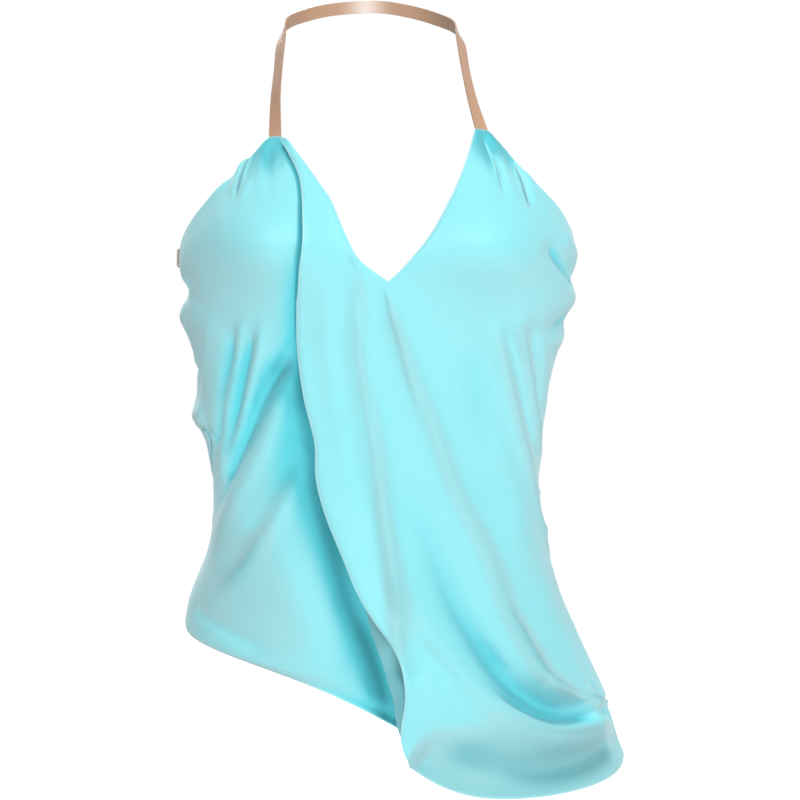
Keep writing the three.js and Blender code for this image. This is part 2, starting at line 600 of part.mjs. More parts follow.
function neckTape() {
  const behind = -(CLOTH_WALL + TAPE.wall) / 2 - STACK_GAP;
  const sewnEnd = ([x, ...heights], turn) =>
    heights.map((z) => {
      const places = [-0.5, 0, 0.5].map((side) => ({ deg: degAt(x + turn * side * TAPE.neckWidth, z), z }));
      return clothCrossing(places, behind);
    });
  const free = NECK_TAPE.map((row, i) => freeCrossing(NECK_TAPE, i, TAPE.neckWidth));
  const crossings = [...sewnEnd(NECK_TAPE_ENDS.right, -1), ...free, ...sewnEnd(NECK_TAPE_ENDS.left, 1)];
  return tapeMesh("neck_tape", crossings, TAPE.neckSteps);
}

function backTape() {
  const crossings = BACK_TAPE.map(({ deg, z, lift }) => {
    const places = [-0.5, 0, 0.5].map((side) => ({ deg, z: z + side * TAPE.backWidth }));
    return clothCrossing(places, lift);
  });
  return tapeMesh("back_tape", crossings, TAPE.backSteps);
}

const top = new THREE.Group();
top.add(rightFront(), leftFront(), reversFacing(), lowBack(), neckTape(), backTape());
top.position.set(-NAPE.x, -NAPE.y, -NAPE.z);

const garment = new THREE.Group();
garment.add(top);
export default garment;
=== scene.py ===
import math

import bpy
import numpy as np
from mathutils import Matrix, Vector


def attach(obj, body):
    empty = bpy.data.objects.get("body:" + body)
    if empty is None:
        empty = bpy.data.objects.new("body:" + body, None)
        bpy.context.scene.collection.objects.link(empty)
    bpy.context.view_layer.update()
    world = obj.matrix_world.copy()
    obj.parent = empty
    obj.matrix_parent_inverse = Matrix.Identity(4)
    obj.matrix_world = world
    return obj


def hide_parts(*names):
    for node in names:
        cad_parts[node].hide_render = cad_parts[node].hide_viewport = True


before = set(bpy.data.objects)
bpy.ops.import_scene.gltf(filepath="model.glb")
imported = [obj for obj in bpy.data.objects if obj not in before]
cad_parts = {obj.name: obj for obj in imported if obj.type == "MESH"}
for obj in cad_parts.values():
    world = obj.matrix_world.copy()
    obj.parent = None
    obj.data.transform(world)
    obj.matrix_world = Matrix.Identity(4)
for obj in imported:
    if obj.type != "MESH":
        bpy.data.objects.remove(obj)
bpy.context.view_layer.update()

# Halter neck top in thin aqua satin, hung on the hollow form of a body, with nobody in it.
# Two cups hang from a nude neck tape, the wearer's left front crosses over the right one and ends in
# a draped revers and a swag at the left hip, the back is bare with one tape across it, and a low
# back panel closes the hips. Tables are in millimetres from the middle of the shoulders, with +Z up
# and the wearer facing -Y; finished pieces are in metres from the inner face of the tape at the nape.

# The middle of the nape, how square the hollow form is, and the radius that lays cloth out flat.
NAPE = np.array([0.0, 52.0, 4.5])
MILLIMETRE = 0.001
SECTION_POWER = 2.3
CLOTH_RADIUS = 110.0

# Walls, gaps, and the tapes: their widths, how fine their meshes are, and how far the sewn ends of
# the neck tape lie behind the cloth.
CLOTH_WALL = 0.8
SEWN_GAP = 0.15
MERGED_WITHIN = 0.02
SMOOTH_ANGLE = 55
TAPE = {"wall": 1.0, "neck": 9.6, "back": 12.0, "neck_steps": 300, "back_steps": 280, "columns": 8,
        "behind": 1.7}

# Columns of each panel's mesh, and its rows for each row of cloth.
COLUMNS = {"right_front": 96, "revers": 55, "left_cup": 85, "back": 168}
ROW_FINENESS = 5

# What a mesh carries: its flat shape, the shade its folds paint into its colour, below 0 in a hollow
# and above 0 where cloth turns away, and the painted highlight along its rim. The neck tape has its
# painted highlight at the nape.
CLOTH_MAP = "cloth"
PAINTED_SHADING_MAP = "painted_shading"
PAINTED_HIGHLIGHT_MAP = "rim"
PAINTED_SHADING_RANGE = -20.0, 14.0
PAINTED_HIGHLIGHT_WIDTH = 1.0
NAPE_PAINTED_HIGHLIGHT = {"x": -9.0, "reach": 12.0, "behind": (20.0, 40.0)}

# A turned edge, a puckered seam, and the facing beside the revers, which is painted in shade all over by
# its last number.
ROLL = {"swell": 0.25, "swell_at": 4.0, "swell_width": 3.0, "turn": 1.0, "turn_width": 1.2}
PUCKER = {"ripple": 0.22, "ripple_at": 4.0, "ripple_width": 4.5, "valley": 0.9, "valley_width": 2.0,
          "pitch": 1.7, "wander": 2.0, "wander_pitch": 9.0, "rest_pitch": 23.0, "rest_phase": 1.0}
FACING = {"rows": (41, 55), "columns": 15, "reach": 13.0, "depth": 7.0, "behind": 1.7, "painted_shading": 12.0}

# Steps for the form's slope, and the share of its half width that counts as the side line.
ANGLE_STEP = 0.5
HEIGHT_STEP = 1.0
SIDE_LINE = 0.9999

# Steps between two points of a fold's path, how early the fold starts to rise, as a share of its
# fade, and the widths past which it is left out.
PATH_STEPS = 8
FADE_START = -0.3
FOLD_REACH = 4

# Rows past a panel's top and its hem, and how many rows a rolled or puckered edge fades over.
ABOVE_TOP = -20
BELOW_HEM = 9999
ROW_FADE = 6
V_FADE = 10

# Patterns of the two weaves, in repeats a metre across and along, and their relief in metres.
SATIN = {"slubs": (2600, 90, 1), "floats": (3000, 700, 1), "weft": (120, 2200, 1), "mottle": 16.0,
         "handling": 60.0, "handling_stretch": (1, 0.45, 1), "handling_turn": 0.5, "relief": 0.00006}
WEBBING = {"ribs": 320.0, "picks": 420.0, "mottle": (60, 14, 1), "relief": 0.00012}

# Colours by their sRGB numbers. The aqua's two tones vary at random with the weave, its rim colour is
# a painted highlight along the rolled edges, and the nude's shine is a painted highlight at the nape.
# Each stage of painted shade runs from one value to another, and has a colour and a share of metal,
# which gives satin in the painted shade its coloured gloss: hollows darker and more saturated, ridges
# greyer, and cloth that turns away darker.
AQUA = {"dark": (97, 209, 219), "light": (108, 218, 227), "rim": (172, 236, 242),
        "sheen": (245, 250, 252)}
NUDE = {"dark": (174, 134, 105), "light": (198, 159, 132), "painted_highlight": (250, 236, 226)}
PAINTED_SHADING_STAGES = {
    "hollow": (-0.6, -8.0, (46, 192, 204), 0.75),
    "deep hollow": (-9.0, -20.0, (32, 144, 156), 0.25),
    "greyed": (0.8, 5.0, (112, 198, 205), 0.0),
    "turned away": (3.5, 13.0, (56, 160, 169), 0.5),
}

# The studio, in metres. A light has its name, place, aim, size and watts, and may show in the gloss.
FLOOR = {"z": -0.80, "radius": 14.0, "sides": 96, "tone": 0.9, "glow": 1.0}
CAMERA = {"place": (0.0175, -3.052, -0.3039), "lens": 177.6, "sensor": 36}
ROOM_LIGHT = {"seen": 1.0, "soft": 0.2}
LIGHTS = [
    ("front", (0.3, -2.9, 1.9), (0.0, -0.1, -0.3), 1.4, 74, False),
    ("key", (1.9, -2.0, 1.4), (0.0, -0.1, -0.3), 0.9, 34, False),
    ("gleam", (0.9, -2.6, 1.6), (0.0, -0.1, -0.3), 1.1, 10, True),
    ("other_gleam", (-0.9, -2.6, 1.5), (0.0, -0.1, -0.3), 1.1, 10, True),
    ("behind", (-0.8, 2.5, 1.6), (0.0, 0.0, -0.3), 1.4, 60, True),
]

# Rings of the hollow that the cloth stands in: height, reach to the wearer's right and left, and
# depth from the side line to the front and to the back.
RINGS = [
    (-40, 106, 108, 32, 60),
    (-98, 122, 124, 58, 72),
    (-147, 140, 141, 78, 84),
    (-185, 149, 150, 92, 92),
    (-223, 147, 149, 92, 90),
    (-261, 141, 136, 87, 84),
    (-299, 135, 128, 83, 78),
    (-341, 127, 124, 80, 76),
    (-364, 124, 122, 80, 76),
    (-410, 127, 129, 84, 82),
    (-455, 143, 142, 90, 92),
    (-478, 147, 153, 93, 97),
    (-527, 150, 174, 98, 104),
    (-569, 152, 186, 104, 108),
    (-610, 154, 196, 108, 110),
]

# Each cup is a soft mound on the rings.
CUP = {"x": 88, "middle": 12, "z": -183, "height": 22, "half_width": 48, "rise": 46, "fall": 38,
       "side_fade": (0, 0.5)}

# Side seams: height and angle round the body.
RIGHT_SEAM = [
    (-314, -87),
    (-324, -81),
    (-334, -81),
    (-348, -86),
    (-370, -91),
    (-425, -93),
    (-478, -92),
]
LEFT_SEAM = [
    (-320, 97),
    (-340, 91),
    (-364, 87),
    (-405, 85),
    (-445, 86),
    (-478, 84),
    (-496, 78),
    (-509, 77),
    (-526, 82),
]

# Sections of each panel from its top to its hem: the end at the neckline, the centre or the right
# seam, the other end, how far each end stands off the rings, how far the section hangs below a
# straight line, and how many rows of cloth there are up to the next one. An end is (x, z), or
# (DEG, angle, z), or (SEAM, z) on the side seam.
DEG, SEAM = "angle", "seam"
RIGHT_FRONT = [
    ((-71, -102), (-81, -102), 0, 0, 0, 3),
    ((-58, -126), (-102, -122), 0, 0, 0, 4),
    ((-40, -150), (-128, -150), 0, 0, 0, 4),
    ((-24, -180), (-143, -170), 0, 0, 0, 3),
    ((-10, -206), (DEG, -88, -190), 0, 0, 0, 3),
    ((9, -226), (DEG, -93, -216), 0, 0, 3, 4),
    ((12, -262), (DEG, -96, -250), 0, 0, 0, 4),
    ((12, -296), (DEG, -95, -283), 0, 0, 0, 3),
    ((12, -320), (DEG, -90, -304), 0, 0, 0, 2),
    ((12, -334), (SEAM, -314), 0, 0, 0, 4),
    ((12, -358), (SEAM, -332), 0, 0, 0, 4),
    ((13, -388), (SEAM, -352), 0, 0, 0, 4),
    ((13, -425), (SEAM, -384), 0, 0, 0, 4),
    ((14, -468), (SEAM, -418), 0, 0, 0, 5),
    ((15, -514), (SEAM, -450), 0, 0, -1.5, 4),
    ((16, -540), (SEAM, -466), 0, 0, -3.5, 1),
]

REVERS = [
    ((-72, -105), (-67, -105), 3, 3, 0, 2),
    ((-64, -119), (-58, -117), 4, 3, 0, 3),
    ((-57, -136), (-45, -136), 5, 3, 0, 3),
    ((-55, -157), (-33, -155), 6, 3, 0, 3),
    ((-55, -182), (-22, -180), 7, 3, 0, 2),
    ((-57, -205), (-12, -197), 7, 3, 0, 2),
    ((-58, -226), (9, -212), 7, 3, 0, 3),
    ((-57, -259), (15, -244), 8, 4, 0, 4),
    ((-52, -296), (23, -281), 10, 5, 0, 4),
    ((-44, -329), (35, -322), 12, 6, 0, 4),
    ((-42, -359), (47, -366), 14, 7, 0, 4),
    ((-33, -393), (56, -407), 16, 8, 0, 4),
    ((-19, -430), (63, -447), 18, 8, 0, 4),
    ((-3, -462), (69, -484), 20, 9, 0, 5),
    ((15, -489), (73, -520), 22, 11, 0, 4),
    ((21, -516), (76, -549), 23, 14, 0, 4),
    ((18, -549), (78, -575), 24, 17, 1, 3),
    ((24, -569), (79, -592), 26, 20, 4, 1),
]

# The revers and the left cup meet in the V from the section V_SECTION on. The side seams start at
# the section SEAM_TOP, and the left one ends at LEFT_SEAM_END.
V_SECTION = 6
SEAM_TOP = 9
LEFT_SEAM_END = 15
LEFT_FRONT = [
    ((74, -96), (84, -97), 0, 0, 0, 3),
    ((68, -117), (101, -116), 1, 0, 0, 3),
    ((60, -139), (120, -137), 1, 0, 0, 3),
    ((49, -162), (139, -158), 2, 0, 0, 3),
    ((36, -184), (DEG, 86, -174), 2, 0, 0, 2),
    ((21, -201), (DEG, 98, -188), 3, 0, 0, 2),
    ((9, -212), (DEG, 103, -212), 3, 0, 0, 3),
    ((15, -244), (DEG, 107, -248), 4, 0, 0, 4),
    ((23, -281), (DEG, 105, -284), 5, 0, 0, 4),
    ((35, -322), (SEAM, -320), 6, 0, 0, 4),
    ((47, -366), (SEAM, -364), 7, 0, 0, 4),
    ((56, -407), (SEAM, -405), 8, 0, 0, 4),
    ((63, -447), (SEAM, -445), 8, 0, 0, 4),
    ((69, -484), (SEAM, -480), 9, 0, 0, 5),
    ((73, -520), (SEAM, -506), 11, 0, 0, 4),
    ((76, -549), (SEAM, -526), 14, 0, 3, 4),
    ((78, -575), (DEG, 85, -549), 17, 3, 7, 3),
    ((79, -592), (DEG, 87, -568), 20, 5, 9, 1),
]

BACK = [
    ((SEAM, -314), (SEAM, -320), 0, 0, 18, 4),
    ((SEAM, -332), (SEAM, -364), 0, 0, 10, 4),
    ((SEAM, -352), (SEAM, -405), 0, 0, 2, 4),
    ((SEAM, -384), (SEAM, -445), 0, 0, 0, 4),
    ((SEAM, -418), (SEAM, -480), 0, 0, 0, 5),
    ((SEAM, -450), (SEAM, -506), 0, 0, 2, 4),
    ((SEAM, -466), (SEAM, -526), 0, 0, 4, 1),
]

# The neck tape's middle line from the right cup to the left, with the way its outer face looks, and
# the x and heights of its sewn ends.
NECK_TAPE_ENDS = (-76.5, -111, -104), (79.5, -98, -105)
NECK_TAPE = [
    (-76, -36, -74, -0.66, -0.7, 0.3),
    (-74.5, -20, -50, -0.74, -0.55, 0.35),
    (-72.5, -2, -26, -0.75, -0.45, 0.45),
    (-68.5, 14, -12, -0.75, 0.55, 0.35),
    (-55, 33, -4, -0.5, 0.85, 0.15),
    (-33, 46, 2, -0.2, 0.98, 0),
    (0, 52.6, 4.5, 0, 1, 0),
    (26, 46, 0, 0.2, 0.98, 0),
    (47, 32, -7.5, 0.5, 0.85, 0.15),
    (59, 14, -15, 0.75, 0.55, 0.35),
    (63.5, -2, -27, 0.75, -0.45, 0.45),
    (67, -20, -50, 0.74, -0.55, 0.35),
    (72, -34, -74, 0.66, -0.7, 0.3),
]

# The back tape: angle round the body, height, and how far it stands off the cloth's own surface.
BACK_TAPE = [
    (-80, -190, -1.8),
    (-86, -190, -1.8),
    (-92, -191, 2.6),
    (-101, -192, 7),
    (-112, -198, 4),
    (-130, -210, -2),
    (-180, -225, -3),
    (-230, -211, -2),
    (-248, -191, -2.6),
    (-258, -184, -2.8),
    (-264, -183, -2.4),
    (-270, -183, -2),
]


def fold(path, height, width, fade, layer=None, round=False, crisp=2.0, painted_shading=1.0):
    """A fold of one layer of cloth, or of all, along (x, z) in front view or, if round, (angle, z).

    Height is out of the cloth at the path's two ends, negative for a trough. Width may differ on the
    path's two sides, and a crisp value below 2 pinches the fold. The last argument is how much of the
    height is painted into the cloth's colour as shade.
    """
    below, above = width if isinstance(width, tuple) else (width, width)
    return {"path": path, "height": height, "below": below, "above": above, "fade": fade,
            "round": round, "layer": layer, "crisp": crisp, "painted_shading": painted_shading}


# The folds that the solids have too. Each also paints its height into the cloth's colour as shade.
FOLDS = [
    # revers and swag
    fold([(-14, -198), (-11, -262), (-2, -313), (3, -353), (8, -398), (12, -426), (17, -462), (20, -500)],
         (3, 7), 10, (20, 30)),
    fold([(19, -455), (24, -488), (30, -512)], (-2, -4), 7, (20, 15)),
    fold([(9, -216), (17, -246), (37, -305), (53, -356), (81, -420), (97, -463), (114, -494), (124, -508),
          (145, -520), (169, -529)], (3, 7), 9, (30, 10)),
    fold([(18, -351), (32, -390), (47, -429), (66, -468), (91, -505), (114, -523), (136, -531),
          (162, -530)], (-2, -17), 13, (40, 12), painted_shading=0.55),
    fold([(12, -421), (26, -451), (38, -473), (53, -492), (70, -511), (85, -525), (105, -539),
          (130, -546), (157, -542), (172, -534)], (3, 11), 12, (30, 30), painted_shading=0.4),
    fold([(38, -548), (76, -562), (113, -571), (150, -568), (178, -556)], (-3, -7), 12, (25, 15),
         painted_shading=-1.5),
    fold([(28, -478), (42, -492), (60, -512)], (-2, -2), 6, (12, 12)),
    fold([(22, -562), (47, -580), (69, -588), (91, -592), (121, -590), (151, -582), (174, -574),
          (188, -570)], (-18, -18), 25, (14, 105), "left", painted_shading=-0.4),
    # the right front falls back behind the free edge of the revers, and is painted in shade there
    fold([(-54, -240), (-48, -314), (-38, -373), (-19, -440), (-1, -483), (14, -540)], (-4, -8), 16,
         (50, 0), "right", painted_shading=1.6),
    # drag lines below the left cup
    fold([(85, -240), (93, -276), (103, -313), (114, -356), (121, -389), (131, -423)], (3, 3), 6,
         (25, 30)),
    fold([(96, -240), (105, -276), (112, -313), (118, -341)], (-3, -3), 6, (20, 20)),
    fold([(105, -238), (112, -269), (117, -305), (121, -332)], (3, 3), 5, (20, 20)),
    fold([(114, -238), (119, -276), (121, -307)], (-3, -3), 6, (15, 15)),
    fold([(69, -248), (75, -299), (86, -351), (98, -404)], (-3, -3), 14, (30, 40)),
    fold([(80, -314), (94, -370), (103, -399), (118, -442)], (2, 3), 16, (30, 30)),
    # gathers below the left tape
    fold([(80, -98), (87, -128), (95, -150)], (-2, -2), 4, (24, 18), painted_shading=0.4),
    fold([(88, -104), (98, -132), (107, -151)], (2, 2), 5, (18, 18)),
    fold([(96, -113), (106, -142), (115, -162)], (-3, -2), 5, (8, 18), painted_shading=0.4),
    # tucks of the left side where the back tape pulls the cloth in
    fold([(62, -184), (71, -194), (80, -203), (91, -209), (104, -211)], (-3, -6), 8, (14, 0), round=True),
    fold([(137, -176), (147, -190)], (3, 3), 9, (8, 0)),
    fold([(90, -217), (103, -218)], (2, 3), 7, (6, 0), round=True),
    fold([(66, -250), (80, -242), (104, -236)], (-2, -6), 8, (12, 0), round=True),
    # drag lines below the right cup
    fold([(-106, -243), (-109, -276), (-115, -305), (-121, -336)], (-3, -3), 6, (20, 15), painted_shading=1.1),
    fold([(-99, -242), (-105, -276), (-111, -305), (-119, -352)], (3, 3), 5, (20, 15)),
    fold([(-91, -245), (-99, -276), (-107, -311), (-115, -344)], (-4, -3), 6, (20, 15), painted_shading=1.1),
    fold([(-84, -242), (-92, -276), (-99, -307), (-111, -338), (-120, -361)], (4, 3), 5, (20, 15)),
    fold([(-65, -264), (-77, -283), (-89, -305), (-98, -328), (-108, -346), (-115, -364)], (-6, -5), 8,
         (20, 15), painted_shading=1.1),
    fold([(-64, -292), (-79, -322), (-94, -350), (-108, -379), (-121, -408)], (3, 3), 10, (20, 20)),
    fold([(-57, -335), (-81, -374), (-102, -408), (-119, -430)], (-3, -3), 11, (20, 20), painted_shading=0.7),
    fold([(-57, -365), (-83, -399), (-100, -427), (-118, -445)], (2, 3), 9, (25, 20)),
    # gathers below the right tape
    fold([(-104, -114), (-111, -135), (-116, -154)], (-3, -2), 4, (8, 16), painted_shading=0.4),
    fold([(-91, -107), (-96, -128), (-99, -142)], (-2, -2), 4, (12, 14), painted_shading=0.4),
    fold([(-97, -110), (-103, -131), (-108, -148)], (2, 2), 4, (10, 14)),
    # loops of the right side edge, and the turned hem
    fold([(-70, -205), (-84, -216), (-96, -217)], (-2, -7), 8, (12, 0), round=True),
    fold([(-80, -240), (-90, -238), (-98, -237)], (3, 4), 13, (8, 0), round=True),
    fold([(-78, -290), (-88, -274), (-98, -268)], (-2, -4), 9, (10, 0), round=True),
    fold([(-78, -316), (-88, -311), (-92, -309)], (5, 7), 11, (8, 0), round=True),
    fold([(-136, -456), (-120, -466), (-101, -476), (-79, -486)], (-3, -2), 6, (6, 20)),
    fold([(-92, -480), (-60, -497), (-30, -512), (2, -537)], (-4, -4), 7, (0, 0), "right", round=True),
    # soft drapes of the back, fuller towards the hem
    fold([(-108, -345), (-112, -410), (-114, -490)], (-2, -6), 14, (20, 0), round=True),
    fold([(-128, -350), (-131, -410), (-134, -495)], (2, 6), 15, (20, 0), round=True),
    fold([(-150, -362), (-152, -420), (-154, -505)], (-3, -6), 14, (25, 0), round=True),
    fold([(-171, -365), (-173, -430), (-176, -515)], (2, 5), 16, (25, 0), round=True),
    fold([(-196, -360), (-199, -430), (-202, -525)], (-3, -7), 15, (25, 0), round=True),
    fold([(-220, -350), (-222, -430), (-226, -530)], (2, 6), 16, (20, 0), round=True),
    fold([(-244, -345), (-246, -430), (-249, -535)], (-2, -5), 13, (20, 0), round=True),
]

# Paths of the sharp creases at the cup tips, each with a thin line of painted shade along its bottom.
RIGHT_TIP = [(-95, -113), (-101, -129), (-105, -151)]
LEFT_TIP = [(80, -104), (85, -114), (90, -128), (94, -150)]
LEFT_TIP_OUTER = [(104, -121), (110, -139), (115, -160)]

